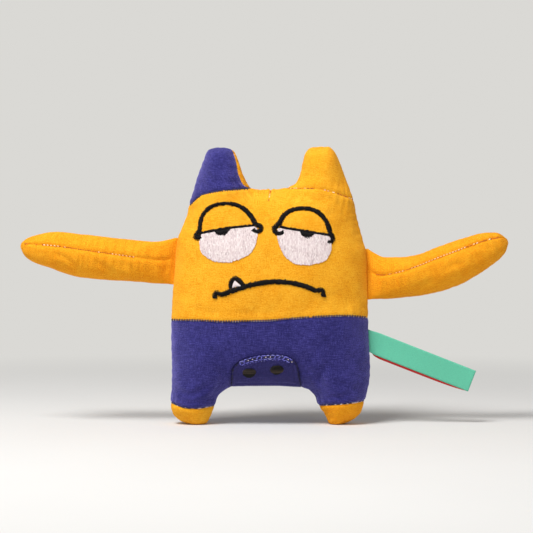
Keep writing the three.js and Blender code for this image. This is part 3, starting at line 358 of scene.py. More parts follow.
def lumps(places, size):
    """Smooth lumps over a surface, from -1 to 1, about as wide as size"""
    return sum(np.sin(places @ direction * (2.2 / size) + phase) for direction, phase in WAVES) / 5


class Seam:
    """A sewn line on the surface: it draws the cloth in, in a groove with puckers on both sides"""

    def __init__(self, line, groove, pucker, pitch, seed, reach):
        length = np.concatenate([[0], np.cumsum(np.linalg.norm(np.diff(line, axis=0), axis=1))])
        self.groove, self.pucker, self.reach, self.tree = groove, pucker, reach, kd_tree(line)
        drift, strong = line_noise(length[-1], 1.7 * pitch, seed), line_noise(length[-1], 2.6 * pitch, seed + 1)
        wave = np.sin(2 * np.pi * (length / pitch + 0.55 * drift(length)))
        self.wave = wave * (0.55 + 0.45 * strong(length))

    def shift(self, places):
        found = np.array([self.tree.find(p)[1:] for p in places.reshape(-1, 3)])
        d = found[:, 1]
        move = -np.exp(-((d / GROOVE_WIDTH) ** 2)) + 0.38 * np.exp(-(((d - 2.6) / 2.0) ** 2))
        move = self.groove * move
        move += self.pucker * self.wave[found[:, 0].astype(int)] * (d / self.reach) * np.exp(1 - d / self.reach)
        return move.reshape(places.shape[:-1])


def crease(places, points, depth, width):
    """A soft fold along a line of points, deepest in its middle"""
    line = Curve(points).at_length(even(40))
    d = np.linalg.norm(places[..., [0, 2]][..., None, :] - line, axis=-1)
    taper = np.sin(np.pi * (d.argmin(-1) + 0.5) / len(line)) ** 0.7
    d = d.min(-1) / width
    return taper * depth * (0.5 * np.exp(-((d - 1.9) ** 2)) - np.exp(-(d**2)))


def make_mesh(name, places, faces, material, uv=None, tone=None):
    """A mesh object from places in millimetres about the middle of the body"""
    mesh = bpy.data.meshes.new(name)
    places = (places.reshape(-1, 3) + [SHIFT, 0, 0]) * MM
    mesh.from_pydata(places.tolist(), [], faces if isinstance(faces, list) else faces.tolist())
    mesh.polygons.foreach_set("use_smooth", [True] * len(mesh.polygons))
    if uv is not None:
        index = np.empty(len(mesh.loops), int)
        mesh.loops.foreach_get("vertex_index", index)
        mesh.uv_layers.new(name="cloth").data.foreach_set("uv", uv.reshape(-1, 2)[index].ravel())
    if tone is not None:
        mesh.attributes.new("tone", "FLOAT", "POINT").data.foreach_set("value", tone.astype(np.float32))
    mesh.materials.append(material)
    return placed(name, mesh)


def placed(name, data):
    """An object of this data, in the scene"""
    made = bpy.data.objects.new(name, data)
    scene.collection.objects.link(made)
    return made


def grid_faces(rows, columns, flip=False, closed=False):
    r, c = np.meshgrid(np.arange(rows - 1), np.arange(columns if closed else columns - 1), indexing="ij")
    here, there = r * columns + c, r * columns + (c + 1) % columns
    quads = np.stack([here, there, there + columns, here + columns], axis=-1).reshape(-1, 4)
    return quads[:, ::-1] if flip else quads


def grid_piece(name, places, material, uv, outward):
    """A sheet over a grid of places, with its faces turned to the outward side"""
    face = np.cross(places[1:, :-1] - places[:-1, :-1], places[:-1, 1:] - places[:-1, :-1])
    flip = (face * outward[:-1, :-1]).sum() > 0
    return make_mesh(name, places, grid_faces(*places.shape[:2], flip=flip), material, uv)


# Materials. Cloth coordinates are millimetres.
def linear(*colour):
    return (*[v / 12.92 if v <= 0.04045 else ((v + 0.055) / 1.055) ** 2.4 for v in colour], 1.0)


class Nodes:
    """Shorthand for the node tree of a material or the world. Inputs are values or sockets."""

    def __init__(self, owner):
        owner.use_nodes = True
        self.owner, self.tree = owner, owner.node_tree

    def plug(self, socket, value):
        if isinstance(value, bpy.types.NodeSocket):
            self.tree.links.new(value, socket)
        else:
            socket.default_value = value

    def add(self, kind, inputs=(), out=0, **settings):
        made = self.tree.nodes.new("ShaderNode" + kind)
        for key, value in settings.items():
            setattr(made, key, value)
        for key, value in dict(inputs).items():
            self.plug(made.inputs[key], value)
        return made.outputs[out]

    def math(self, operation, *values):
        return self.add("Math", enumerate(values), operation=operation)

    def weighted(self, start, *terms):
        """Sum of values, each times its weight"""
        for value, weight in terms:
            start = self.math("MULTIPLY_ADD", value, weight, start)
        return start

    def mix(self, share, a, b):
        return self.add("Mix", {0: share, 6: a, 7: b}, 2, data_type="RGBA")

    def noise(self, vector, scale, detail=2.0, roughness=0.5, stretch=(1, 1, 1), angle=0.0):
        turned = self.add("Mapping", {"Vector": vector, "Scale": stretch, "Rotation": (0, 0, angle)})
        return self.add("TexNoise", {"Vector": turned, "Scale": scale, "Detail": detail, "Roughness": roughness})

    def tones(self, value, low, high, colours):
        """Dark, base and light colours for values below, about and above a half"""
        dark, base, light = [linear(*c) for c in colours]
        below = self.mix(self.add("MapRange", {0: value, 1: low, 2: 0.5}), dark, base)
        return self.mix(self.add("MapRange", {0: value, 1: 0.5, 2: high}), below, light)

    def bump(self, height, strength, distance, under=None):
        inputs = {"Height": height, "Strength": strength, "Distance": distance}
        return self.add("Bump", inputs if under is None else {**inputs, "Normal": under})

    def set(self, **values):
        """Values of the material's shader. Gives the material back."""
        for key, value in values.items():
            self.plug(self.tree.nodes["Principled BSDF"].inputs[key.replace("_", " ")], value)
        return self.owner

    def surface(self, shader):
        output = "World Output" if isinstance(self.owner, bpy.types.World) else "Material Output"
        self.plug(self.tree.nodes[output].inputs["Surface"], shader)


def new_nodes(name):
    return Nodes(bpy.data.materials.new(name))


def weave_height(n, uv, pitch, angle):
    """Height of a plain weave: warp and weft threads that pass over each other in turn"""
    turned = n.add("Mapping", {"Vector": uv, "Rotation": (0, 0, angle), "Scale": (1 / pitch,) * 3})
    split = n.add("SeparateXYZ", {0: turned}).node
    waves = [n.math("SINE", n.math("MULTIPLY", split.outputs[k], math.pi)) for k in (0, 1)]
    warp, weft = [n.math("POWER", n.math("ABSOLUTE", w), 0.7) for w in waves]
    over = n.math("GREATER_THAN", n.math("MULTIPLY", *waves), 0.0)
    low = n.math("MULTIPLY", n.math("SUBTRACT", 1.0, over), weft)
    return n.math("MULTIPLY_ADD", over, warp, low)


def cloth(name, *colours, angle=0.0, slub, pitch=0.62, fuzz, tint):
    """Woven cotton: thread by thread weave, slubs along warp and weft, mottling and a soft nap"""
    n = new_nodes(name)
    uv = n.add("UVMap", uv_map="cloth")
    weave = weave_height(n, uv, pitch, angle)
    warp, weft = [n.noise(uv, 1.0, 2.0, 0.55, stretch, angle) for stretch in ((1.7, 0.22, 1), (0.2, 1.8, 1))]
    mixed = n.weighted(
        -0.144, (warp, 0.45 * slub), (weft, 0.55 * slub), (n.noise(uv, 1.7, 3.0, 0.7), 1 - slub),
        (n.noise(uv, 0.06), 0.12), (weave, 0.14),
    )
    return n.set(
        Base_Color=n.tones(mixed, 0.36, 0.64, colours),
        Normal=n.bump(weave, 0.5, 0.00012, n.bump(mixed, 0.45, 0.00035)),
        Roughness=0.92, Specular_IOR_Level=0.2, Sheen_Weight=fuzz, Sheen_Roughness=0.45, Sheen_Tint=linear(*tint),
    )


def thread(name, *colours, sheen=0.15, rough=0.5, specular=0.4):
    """Sewing or embroidery thread: each strand has its own tone"""
    n = new_nodes(name)
    fine = n.noise(n.add("NewGeometry"), 2600.0, 2.0, 0.6)
    mixed = n.weighted(0.0, (n.add("Attribute", out=2, attribute_name="tone"), 0.7), (fine, 0.3))
    return n.set(
        Base_Color=n.tones(mixed, 0.05, 0.95, colours), Normal=n.bump(fine, 0.25, 0.0001), Roughness=rough,
        Specular_IOR_Level=specular, Sheen_Weight=sheen, Sheen_Roughness=0.4,
    )


yellow_cloth = cloth(
    "yellow_canvas", (0.80, 0.42, 0.015), (0.955, 0.635, 0.06), (1.0, 0.79, 0.25), slub=0.35, fuzz=0.1,
    tint=(1.0, 0.86, 0.5),
)
arm_cloth = cloth(
    "yellow_canvas_bias", (0.80, 0.39, 0.005), (0.95, 0.595, 0.03), (1.0, 0.75, 0.19), angle=0.7, slub=0.3, fuzz=0.06,
    tint=(1.0, 0.8, 0.4),
)
blue_cloth = cloth(
    "blue_canvas", (0.07, 0.06, 0.26), (0.14, 0.13, 0.39), (0.30, 0.28, 0.60), slub=0.55, fuzz=0.85,
    tint=(0.68, 0.66, 1.0),
)
felt = cloth(
    "blue_felt", (0.055, 0.05, 0.19), (0.115, 0.105, 0.31), (0.27, 0.25, 0.52), slub=0.1, pitch=0.9, fuzz=0.6,
    tint=(0.68, 0.66, 1.0),
)
black_thread = thread(
    "black_thread", (0.008, 0.006, 0.008), (0.025, 0.018, 0.02), (0.14, 0.115, 0.115), sheen=0.0, rough=0.62,
    specular=0.16,
)
# Black thread with a little more gloss; its brownish light tone is a painted highlight on some strands
gloss_and_painted_highlight_thread = thread(
    "black_thread_gloss_and_painted_highlights", (0.008, 0.006, 0.006), (0.025, 0.018, 0.016), (0.30, 0.25, 0.21), sheen=0.0, specular=0.25
)
white_thread = thread("white_thread", (0.66, 0.57, 0.58), (0.87, 0.80, 0.80), (0.98, 0.95, 0.94), rough=0.55)
# Orange strands along the yellow seams: their colour is painted shade of the needle holes and of the thread's shadows
orange_thread_and_hole_shade = thread("orange_thread_and_hole_shade", (0.50, 0.17, 0.005), (0.74, 0.31, 0.01), (0.92, 0.50, 0.05))
cream_thread = thread("cream_thread", (0.86, 0.70, 0.46), (0.98, 0.89, 0.70), (1.0, 0.97, 0.88))
# Dark blue thread; the same material also paints the shadow in the gap round the felt patch
blue_thread_and_painted_shadow = thread("blue_thread_and_painted_shadow", (0.03, 0.025, 0.10), (0.08, 0.07, 0.22), (0.24, 0.22, 0.46))
lilac_thread = thread("lilac_thread", (0.26, 0.25, 0.62), (0.46, 0.45, 0.86), (0.72, 0.72, 1.0))
# The thread and slot of each kind of seam stitch
KINDS = {
    "dark": (blue_thread_and_painted_shadow, "blue_cloth"), "orange": (orange_thread_and_hole_shade, "yellow_cloth"),
    "white": (white_thread, "white_thread"), "cream": (cream_thread, "white_thread"),
}


# Body panels
def head_grid():
    top, on_rim = chain(
        (horn_runs["left"], crowd_both(64), False),
        (rim_run("hornInnerLeft", "hornInnerRight"), even(40), True),
        (horn_runs["right"], crowd_both(64), False),
    )
    left, right = rim_run("waistLeft", "hornBaseLeft"), backwards(rim_run("hornBaseRight", "waistRight"))
    return masked(patch(facing(top, waist_run), top, left, right, crowd_end(112)), top=on_rim)


def trouser_grid():
    bottom, on_rim = chain(
        (ankle_runs["left"], crowd_both(36), False),
        (backwards(rim_run("ankleInnerRight", "ankleInnerLeft")), even(110), True),
        (ankle_runs["right"], crowd_both(36), False),
    )
    left, right = rim_run("ankleOuterLeft", "waistLeft"), backwards(rim_run("waistRight", "ankleOuterRight"))
    return masked(patch(bottom, facing(bottom, waist_run), left, right, crowd_start(76)), bottom=on_rim)


def foot_grid(name):
    a, b, c, d = FOOT_CORNERS[name]
    sole, top = backwards(rim_run(d, a))(crowd_both(34)), ankle_runs[name](crowd_both(34))
    return masked(patch(sole, top, rim_run(a, b), backwards(rim_run(c, d)), crowd_start(26)), bottom=True)


def horn_grid(name, turned=False):
    a, b, c, d = HORN_CORNERS[name]
    base, tip = horn_runs[name](crowd_both(64)), rim_run(b, c)(crowd_both(64))
    grid = patch(base, tip, rim_run(a, b), backwards(turned_in if turned else rim_run(c, d)), crowd_end(44))
    grid, mask = masked(grid, top=True, right=not turned)
    mask[0, -1] = True
    return grid, mask


# Height, and how far the left horn's front panel stops inside the sewn edge
TURN_IN = Curve([
    [160.0, 0], [160.6, 1.3], [161.5, 2.4], [163.0, 2.6], [165.0, 2.1], [168, 1.4], [172, 0.7], [176, 0.35], [184.7, 0],
]).at(even(200))


def turned_in(share):
    flat = rim_run("tipInnerLeft", "hornInnerLeft")(share)
    flat[:, 0] -= np.interp(flat[:, 1], TURN_IN[:, 0], np.maximum(0, TURN_IN[:, 1]))
    return flat


def turned_strip():
    """Grid of the turned-over cloth, between the front panel of the left horn and the sewn edge"""
    inner, outer = [backwards(run)(crowd_end(44)) for run in (turned_in, rim_run("tipInnerLeft", "hornInnerLeft"))]
    grid = inner[:, None] + (outer - inner)[:, None] * crowd_end(8)[None, :, None]
    return masked(grid, bottom=True, top=True, left=False)


def on_body(grid, mask, side):
    """Places of a grid on the stuffed body, and outward normals"""
    half = np.sqrt(np.maximum(depth_squared(grid.reshape(-1, 2)), 0)).reshape(mask.shape)
    half[mask] = 0
    places = np.stack([grid[..., 0], side * half, grid[..., 1]], axis=-1)
    normals = unit(np.cross(np.gradient(places, axis=1), np.gradient(places, axis=0)))
    normals *= side * np.sign(normals[..., 1].mean())
    normals[mask, 1] = 0
    return places, unit(normals)


def line_on_body(run, side, count=160):
    return body_surface(run(even(count)), side)[0]


# Seams: line, depths of groove and puckers, pitch of the puckers, seed and reach
rim_line = rim.at_length(even(1200))
rim_seam = Seam(np.column_stack([rim_line[:, 0], 0 * rim_line[:, 0], rim_line[:, 1]]), 0.4, 0.2, 6.2, 3, 4.0)
turn_seam = Seam(line_on_body(turned_in, -1, 80), 0.55, 0.22, 4.6, 77, 2.4)
cross_seams = {}
for side in (-1, 1):
    cross_seams["waist", side] = Seam(line_on_body(waist_run, side, 300), 0.5, 0.16, 6.5, 20 + side, 3.0)
    for k in SIDES:
        cross_seams[f"horn_{k}", side] = Seam(line_on_body(horn_runs[k], side), 0.7, 0.3, 5.2, 30 + side, 3.0)
        cross_seams[f"ankle_{k}", side] = Seam(line_on_body(ankle_runs[k], side), 0.7, 0.3, 4.2, 40 + side, 2.5)
SEAMS_OF = {
    "head": ("waist", "horn_left", "horn_right"), "trousers": ("waist", "ankle_left", "ankle_right"),
    "foot_left": ["ankle_left"], "foot_right": ["ankle_right"], "horn_left": ["horn_left"],
    "horn_right": ["horn_right"], "horn_left_turned": [],
}


def edge_share(places):
    """The sewn edge draws the cloth in, except where the left horn is turned over it"""
    x, z = places[..., 0], places[..., 2]
    return 1 - 0.9 * smoothstep(z, 161, 164) * (1 - smoothstep(z, 180, 184)) * ((x > -34) & (x < -8))


def flattened(z):
    """Heights pressed against the floor, with a soft turn"""
    return np.where(z > 4, z, SOLE_SOFT * np.logaddexp(0, (z - 0.35) / SOLE_SOFT))


def twist(places):
    """The left horn turns about its own upright middle, more towards its tip"""
    share = smoothstep(places[..., 2], HEAD_TOP, HEAD_TOP + TWIST_RISE)
    angle = -HORN_TWIST * share
    x, y = (places[..., 0] + HORN_SPREAD) * (1 + TWIST_SWELL * share), places[..., 1]
    turned = x * np.cos(angle) - y * np.sin(angle) - HORN_SPREAD, x * np.sin(angle) + y * np.cos(angle)
    return np.stack([*turned, places[..., 2]], axis=-1)


# The felt patch, seen from the front
PATCH_TOP = [
    [-0.985, 0.42], [-0.972, 0.575], [-0.775, 0.809], [-0.554, 0.92], [-0.149, 1.02], [0.239, 1.045],
    [0.516, 1.015], [0.755, 0.9], [0.905, 0.705], [0.953, 0.42],
]
OVALS = {"left": [-0.486, 0.474], "right": [0.317, 0.576]}


def inward(points, distance):
    """Points of a run moved to its left"""
    return points + square_to(unit(np.gradient(points, axis=0))) * distance


def straight(start, end):
    return lambda share: start + (end - start) * np.asarray(share)[:, None]


arch = inward(backwards(rim_run("groinRight", "groinLeft"))(0.046 + 0.876 * even(90)), 0.9)
top_curve = Curve([patch_point(r) for r in PATCH_TOP])
top = top_curve.at_length(even(90))
patch_grid = patch(arch, top, straight(arch[0], top[0]), straight(arch[-1], top[-1]), crowd_both(44))
patch_edge = np.concatenate([patch_grid[:, 0], top, patch_grid[::-1, -1]])


def patch_dent(places):
    """The cloth dips along the edge of the patch that is sewn on it"""
    flat = places[..., [0, 2]].reshape(-1, 2)
    d = np.full(len(flat), 99.0)
    near = (np.abs(flat[:, 0]) < 32) & (flat[:, 1] < 56)
    d[near] = np.min(np.linalg.norm(flat[near][:, None] - patch_edge[None, ::2], axis=-1), axis=-1)
    return -0.9 * np.exp(-((d / 0.95) ** 2)).reshape(places.shape[:-1])


# Folds: a line of points, depth and width
CREASES = {
    "trousers": [
        ([[-64, 24], [-54, 21], [-46, 23], [-38, 29]], 0.8, 2.2), ([[-62, 17], [-50, 16], [-40, 20]], 0.5, 1.8),
        ([[-36, 22], [-32, 30], [-34, 40]], 0.5, 2.6), ([[36, 24], [34, 32], [38, 42]], 0.6, 2.6),
        ([[64, 26], [55, 25], [46, 30]], 0.5, 2.4), ([[40, 20], [47, 19], [54, 22]], 0.4, 1.8),
    ],
    "head": [([[-58, 120], [-62, 108], [-62, 96]], 0.4, 3.0), ([[60, 112], [64, 100], [64, 88]], 0.4, 3.0)],
    "horn_right": [([[22, 165], [30, 168], [40, 167]], 0.35, 2.6)],
    "horn_left": [([[-40, 166], [-30, 163], [-20, 162]], 0.5, 2.4)],
    "arm_left": [
        ([[-156, 108], [-148, 106], [-140, 110]], 0.5, 1.6), ([[-146, 116], [-136, 112], [-128, 104]], 0.45, 1.6),
        ([[-120, 112], [-110, 106], [-104, 100]], 0.5, 2.0), ([[-100, 110], [-92, 104], [-88, 98]], 0.35, 1.8),
        ([[-72, 101], [-70, 106], [-71, 112]], 0.45, 1.5),
    ],
    "arm_right": [
        ([[130, 116], [138, 120], [146, 121]], 0.55, 1.8), ([[116, 104], [124, 108], [132, 109]], 0.4, 1.8),
        ([[96, 92], [104, 94], [112, 99]], 0.35, 2.0), ([[84, 84], [92, 86], [100, 88]], 0.3, 1.8),
        ([[72, 88], [73, 96], [72, 104]], 0.35, 1.5),
    ],
}
DART = ([[1.6, 172], [0.9, 159.5], [-0.7, 149.5]], 0.8, 0.95)


def dressed(grid, mask, side, name):
    """A body panel with its seams, puckers, creases and lumps"""
    places, normals = on_body(grid, mask, side)
    move = rim_seam.shift(places) * edge_share(places)
    if name.startswith("horn_left") and side < 0:
        move += turn_seam.shift(places)
    if name == "head":
        move += crease(places, *DART)
    if name == "trousers" and side < 0:
        move += patch_dent(places)
    for seam_name in SEAMS_OF[name]:
        move += cross_seams[seam_name, side].shift(places)
    near_rim = np.clip(np.abs(places[..., 1]) / 8, 0, 1)
    move += 0.35 * near_rim * lumps(places, 22) + 0.12 * near_rim * lumps(places, 8)
    for fold in CREASES.get(name, []) if side < 0 else []:
        move += crease(places, *fold)
    return places + normals * move[..., None], normals, unrolled(places, normals)


cloth_pieces = {}
for half, side in (("front", -1), ("back", 1)):
    horn_cloths = (blue_cloth, yellow_cloth)[::-side]
    jobs = {
        "head": (head_grid(), yellow_cloth), "trousers": (trouser_grid(), blue_cloth),
        "foot_left": (foot_grid("left"), yellow_cloth), "foot_right": (foot_grid("right"), arm_cloth),
        "horn_left": (horn_grid("left", side < 0), horn_cloths[0]), "horn_right": (horn_grid("right"), horn_cloths[1]),
    }
    if side < 0:
        jobs["horn_left_turned"] = (turned_strip(), yellow_cloth)
    for name, ((grid, mask), material) in jobs.items():
        places, normals, uv = dressed(grid, mask, side, name)
        if name.startswith("foot"):
            places[..., 2] = flattened(places[..., 2])
        if name.startswith("horn_left"):
            places = twist(places)
        piece = grid_piece(f"{name}_{half}_cloth", places, material, uv, normals)
        if name == "horn_left_turned":  # its two ends run out to points
            mesh = bmesh.new()
            mesh.from_mesh(piece.data)
            bmesh.ops.remove_doubles(mesh, verts=mesh.verts, dist=2e-5)
            bmesh.ops.dissolve_degenerate(mesh, edges=mesh.edges, dist=1e-6)
            mesh.to_mesh(piece.data)
            mesh.free()
        else:
            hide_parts(f"{name}_{half}")
        cloth_pieces[f"{name}_{half}"] = piece


# Filling the cloth
def read(mesh, name):
    values = np.empty(3 * len(mesh.vertices))
    mesh.vertices.foreach_get(name, values)
    return values.reshape(-1, 3)


def far_share(places, tree, low, high):
    """0 near the held places, and 1 where they are far"""
    return smoothstep(np.array([tree.find(p)[2] for p in places]) / MM, low, high)


def evaluated(piece):
    return piece.evaluated_get(bpy.context.evaluated_depsgraph_get())


def stuffed(pieces, held, voxel, most):
    """The sewn pieces are filled as one bag of cloth, held along its seams, and each is pressed out as the bag was"""
    sewn = bmesh.new()
    for piece in pieces:
        one = bmesh.new()
        one.from_mesh(piece.data)
        held = held + [v.co.copy() for v in one.verts if v.is_boundary]
        one.free()
        sewn.from_mesh(piece.data)
    bmesh.ops.remove_doubles(sewn, verts=sewn.verts, dist=0.15 * MM)
    bmesh.ops.holes_fill(sewn, edges=[e for e in sewn.edges if e.is_boundary], sides=0)
    bmesh.ops.recalc_face_normals(sewn, faces=sewn.faces)
    mesh = bpy.data.meshes.new("bag")
    sewn.to_mesh(mesh)
    sewn.free()
    bag = placed("bag", mesh)
    even_mesh = bag.modifiers.new("even", "REMESH")
    even_mesh.mode, even_mesh.voxel_size = "VOXEL", voxel * MM
    bag.data = bpy.data.meshes.new_from_object(evaluated(bag))
    bag.modifiers.clear()
    rest, normals = read(bag.data, "co"), read(bag.data, "normal")
    group = bag.vertex_groups.new(name="seams")
    tree = kd_tree(held)
    for i, share in enumerate(1 - far_share(rest, tree, 0.6 * voxel, 1.6 * voxel)):
        group.add([i], float(share), "REPLACE")
    bag.data.vertices.foreach_set("co", (rest - normals * BAG_SHRINK * MM).ravel())
    fabric = bag.modifiers.new("fabric", "CLOTH")
    settings = fabric.settings
    settings.quality, settings.mass, settings.shrink_min = 6, 0.15, -0.02
    settings.tension_stiffness = settings.compression_stiffness = 12
    settings.shear_stiffness, settings.bending_stiffness = 4, 0.3
    settings.vertex_group_mass = "seams"
    settings.use_pressure, settings.uniform_pressure_force = True, PRESSURE
    settings.effector_weights.gravity = 0
    fabric.collision_settings.use_collision = False
    fabric.point_cache.frame_start, fabric.point_cache.frame_end = 1, CLOTH_FRAMES
    for k in range(1, CLOTH_FRAMES + 1):
        scene.frame_set(k)
    press = ((read(evaluated(bag).data, "co") - rest) * normals).sum(1) / MM
    bpy.data.objects.remove(bag)
    scene.frame_set(1)
    press = most * np.tanh((press - np.median(press)) / 1.6)
    nearest = kd_tree(rest)
    for piece in pieces:
        places, outward = read(piece.data, "co"), read(piece.data, "normal")
        near = [nearest.find_n(p, 5) for p in places]
        weight = np.array([[1 / (f[2] / MM + 0.6) ** 2 for f in found] for found in near])
        push = (press[np.array([[f[1] for f in found] for found in near])] * weight).sum(1) / weight.sum(1)
        push *= far_share(places, tree, 0.8, 5.0) * smoothstep(places[:, 2] / MM, 1.5, 5.0)
        piece.data.vertices.foreach_set("co", (places + outward * push[:, None] * MM).ravel())
        piece.data.update()


def row_point(x, z, y=0.0):
    return Vector(((x + SHIFT) * MM, y * MM, z * MM))


patch_places = body_surface(patch_grid[::4, ::4].reshape(-1, 2), -1)[0]
stuffed(list(cloth_pieces.values()), [row_point(x, z, y) for x, y, z in patch_places], 3.0, 0.5)
for key, piece in cloth_pieces.items():
    if not key.startswith("horn"):
        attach(piece, "root")


def bend_horn(piece):
    """A piece of a horn gets its transform baked into its mesh"""
    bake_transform(piece)


for name, halves in (("left", ("front", "back", "turned_front")), ("right", ("front", "back"))):
    for piece in [cloth_pieces[f"horn_{name}_{half}"] for half in halves]:
        bend_horn(piece)

# Arms: the middle line in shares of the length, and [station, height, depth] in shares of the sizes
BENDS = {
    "left": [[0.095, -0.01], [0.32, 0.005], [0.55, 0.03], [0.78, 0.068], [0.93, 0.088], [1.01, 0.106]],
    "right": [[0.075, -0.025], [0.32, -0.007], [0.54, 0.062], [0.75, 0.154], [0.85, 0.196], [0.92, 0.219]],
}
ARM_ROWS = np.array([
    [0, 1, ARM_ROOT_DEEP / ARM_DEEP], [0.05, 0.985, 0.35], [0.1, 0.965, 0.6], [0.2, 0.95, 0.86],
    [0.33, 0.955, 0.98], [0.54, 1, 1], [0.66, 0.97, 0.97], [0.77, 0.87, 0.87], [0.86, 0.745, 0.73],
    [0.925, 0.6, 0.55], [0.97, 0.41, 0.35], [1, 0.14, 0.11],
])
ROLLS = {"left": math.radians(15), "right": math.radians(32)}


def table_value(station, column):
    """Values of the arm's table at stations, on a smooth curve through its rows"""
    at, value, last = ARM_ROWS[:, 0], ARM_ROWS[:, column], len(ARM_ROWS) - 1
    after, before = np.append(np.arange(last) + 1, last), np.append(0, np.arange(last))
    slope = (value[after] - value[before]) / (at[after] - at[before])
    i = np.clip(np.searchsorted(at, station) - 1, 0, last - 1)
    gap = at[i + 1] - at[i]
    t = np.clip((station - at[i]) / gap, 0, 1)
    bend = gap * (slope[i] * t * (1 - t) ** 2 - slope[i + 1] * t**2 * (1 - t))
    return value[i] + (value[i + 1] - value[i]) * t * t * (3 - 2 * t) + bend


class Arm:
    def __init__(self, name):
        self.side, self.name, self.roll = SIDES[name], name, ROLLS[name]
        places = [anchor[f"shoulder{end}{name.capitalize()}"] for end in ("Low", "High")]
        low, high, between = rim.at(np.array([*places, sum(places) / 2]) / rim.count)
        self.root_up = (high - low) / np.linalg.norm(high - low)
        self.out = self.side * np.array([self.root_up[1], -self.root_up[0]])
        self.root_high = np.linalg.norm(high - low) / 2 * 1.05
        self.root = between + self.out * (0.3 + ARM_ROOT_DEEP)
        self.curve = Curve([self.root, *(self.root + np.array(BENDS[name]) * [self.side, 1] * ARM_LENGTH)])

    def section(self, station, inset=0.0):
        share = np.asarray(station, float) * (1 - inset / ARM_LENGTH)
        place = self.curve.spaced(np.clip(share, 0, 1))
        straight = smoothstep(share, 0, 0.15)[:, None]
        up = unit((1 - straight) * self.root_up + straight * square_to(self.curve.along(place)) * self.side)
        flare = np.maximum(0, 1 - share / 0.1) ** 2
        high = ARM_HIGH * table_value(share, 1) + (self.root_high - ARM_HIGH) * flare - inset
        deep = ARM_DEEP * table_value(share, 2) - inset
        roll = self.roll * smoothstep(share, 0, 0.5) + 0.1 * (1 - smoothstep(share, 0.1, 0.5))
        return self.curve.at(place), up, np.maximum(0.15, high), np.maximum(0.15, deep), roll

    def surface(self, station, angle, inset=0.0):
        """Places at stations and angles from the front seam, both of one shape"""
        middle, up, high, deep, roll = self.section(station.ravel(), inset)
        a = angle.ravel() + roll
        flat = middle + up * (high * np.sin(a))[:, None]
        return np.column_stack([flat[:, 0], -deep * np.cos(a), flat[:, 1]]).reshape(*station.shape, 3)


arms = {name: Arm(name) for name in SIDES}
STATIONS = np.concatenate([crowd_start(20)[:-1] * 0.12, np.linspace(0.12, 0.85, 84), 0.85 + 0.15 * crowd_end(26)[1:]])
ANGLES = np.linspace(0, np.pi, 49)


def arm_panel(arm, start):
    """One panel of an arm: its places, outward normals and cloth coordinates"""
    station, angle = np.meshgrid(STATIONS, start + ANGLES, indexing="ij")
    places = arm.surface(station, angle)
    outward = np.array([arm.out[0], 0, arm.out[1]])
    lips = [places[0] * [1, deep, 1] - outward * back for back, deep in ((2.1, 0.1), (1.4, 0.45), (0.7, 0.8))]
    middle, along = [np.array([v[0][0], 0, v[0][1]]) for v in (arm.curve.at(1.0), arm.curve.along(np.array([1.0])))]
    cap = [
        middle + (places[-1] - middle) * wide + along * far
        for wide, far in ((0.72, 0.3), (0.36, 0.44), (0.03, 0.5))
    ]
    places = np.concatenate([lips, places, cap])
    station = np.concatenate([np.repeat(station[:1], 3, axis=0) - [[0.02], [0.014], [0.007]], station, station[-3:]])
    angle = np.concatenate([np.repeat(angle[:1], 3, axis=0), angle, angle[-3:]])
    spine = arm.curve.at_length(np.clip(station[:, 0] - 0.01, 0, 1))
    away = places - np.stack([spine[:, 0], 0 * spine[:, 0], spine[:, 1]], axis=-1)[:, None]
    normals = unit(np.cross(np.gradient(places, axis=1), np.gradient(places, axis=0)))
    normals *= np.sign((normals * away).sum(-1))[..., None]
    around = np.concatenate([[0], np.cumsum(np.linalg.norm(np.diff(places, axis=1), axis=2).mean(0))])
    length = station * ARM_LENGTH
    uv = np.stack([length, np.broadcast_to(around, station.shape)], axis=-1)
    distance = np.minimum(angle - start, np.pi - (angle - start)) / np.pi * around[-1]
    front = (angle - start < np.pi / 2) == (start == 0)
    drift = line_noise(130, 9.0, 60 + arm.side)(np.clip(length, 0, 129))
    wave = np.sin(2 * np.pi * (length / 5.4 + 0.6 * drift + 0.25 * front))
    calm = smoothstep(station, 0.04, 0.12)
    move = -np.exp(-((distance / GROOVE_WIDTH) ** 2)) + 0.3 * np.exp(-(((distance - 2.6) / 1.8) ** 2))
    move = 0.75 * smoothstep(station, 0.004, 0.03) * move
    move += 0.26 * calm * wave * (distance / 3) * np.exp(1 - distance / 3)
    root = np.exp(-((length / 5.5) ** 2)) * smoothstep(length, 0.2, 2.5)
    move += 0.07 * root * np.sin(angle * 9 + 2 * drift)
    move += calm * (0.26 * lumps(places, 18) + 0.07 * lumps(places, 7))
    for fold in CREASES[f"arm_{arm.name}"]:
        move += crease(places, *fold) * np.clip(-places[..., 1] / 3, 0, 1)
    return places + normals * (move * smoothstep(1 - station, 0, 0.04))[..., None], normals, uv


def bend_arm(piece, arm):
    middle = arm.curve.at_length([HINGE_SHARE])[0]
    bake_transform(piece)


for name, arm in arms.items():
    panels, shoulders = [], []
    cut = 3 + int(np.searchsorted(STATIONS, SHOULDER_END))
    for half, start in (("upper", 0.0), ("lower", np.pi)):
        places, normals, uv = arm_panel(arm, start)
        for kind, rows, made in (("", np.s_[cut:], panels), ("_shoulder", np.s_[: cut + 1], shoulders)):
            piece = grid_piece(f"arm_{name}_{half}{kind}_cloth", places[rows], arm_cloth, uv[rows], normals[rows])
            made.append(piece)
        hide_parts(f"arm_{name}_{half}")
    stuffed(panels + shoulders, [], 2.2, 0.35)
    for piece in panels:
        bend_arm(piece, arm)
    low, high = [arm.root + arm.out * d for d in SHOULDER_BEND]
    for piece in shoulders:
        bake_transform(piece)


# Threads
def tree_of(*pieces):
    vertices, faces = [], []
    for piece in pieces:
        first = len(vertices)
        vertices += [tuple(v.co) for v in piece.data.vertices]
        faces += [[first + i for i in p.vertices] for p in piece.data.polygons]
    return BVHTree.FromPolygons(vertices, faces)


FRONTS = ("head_front", "trousers_front", "foot_left_front", "foot_right_front", "horn_right_front")
front_tree = tree_of(*[cloth_pieces[k] for k in FRONTS])


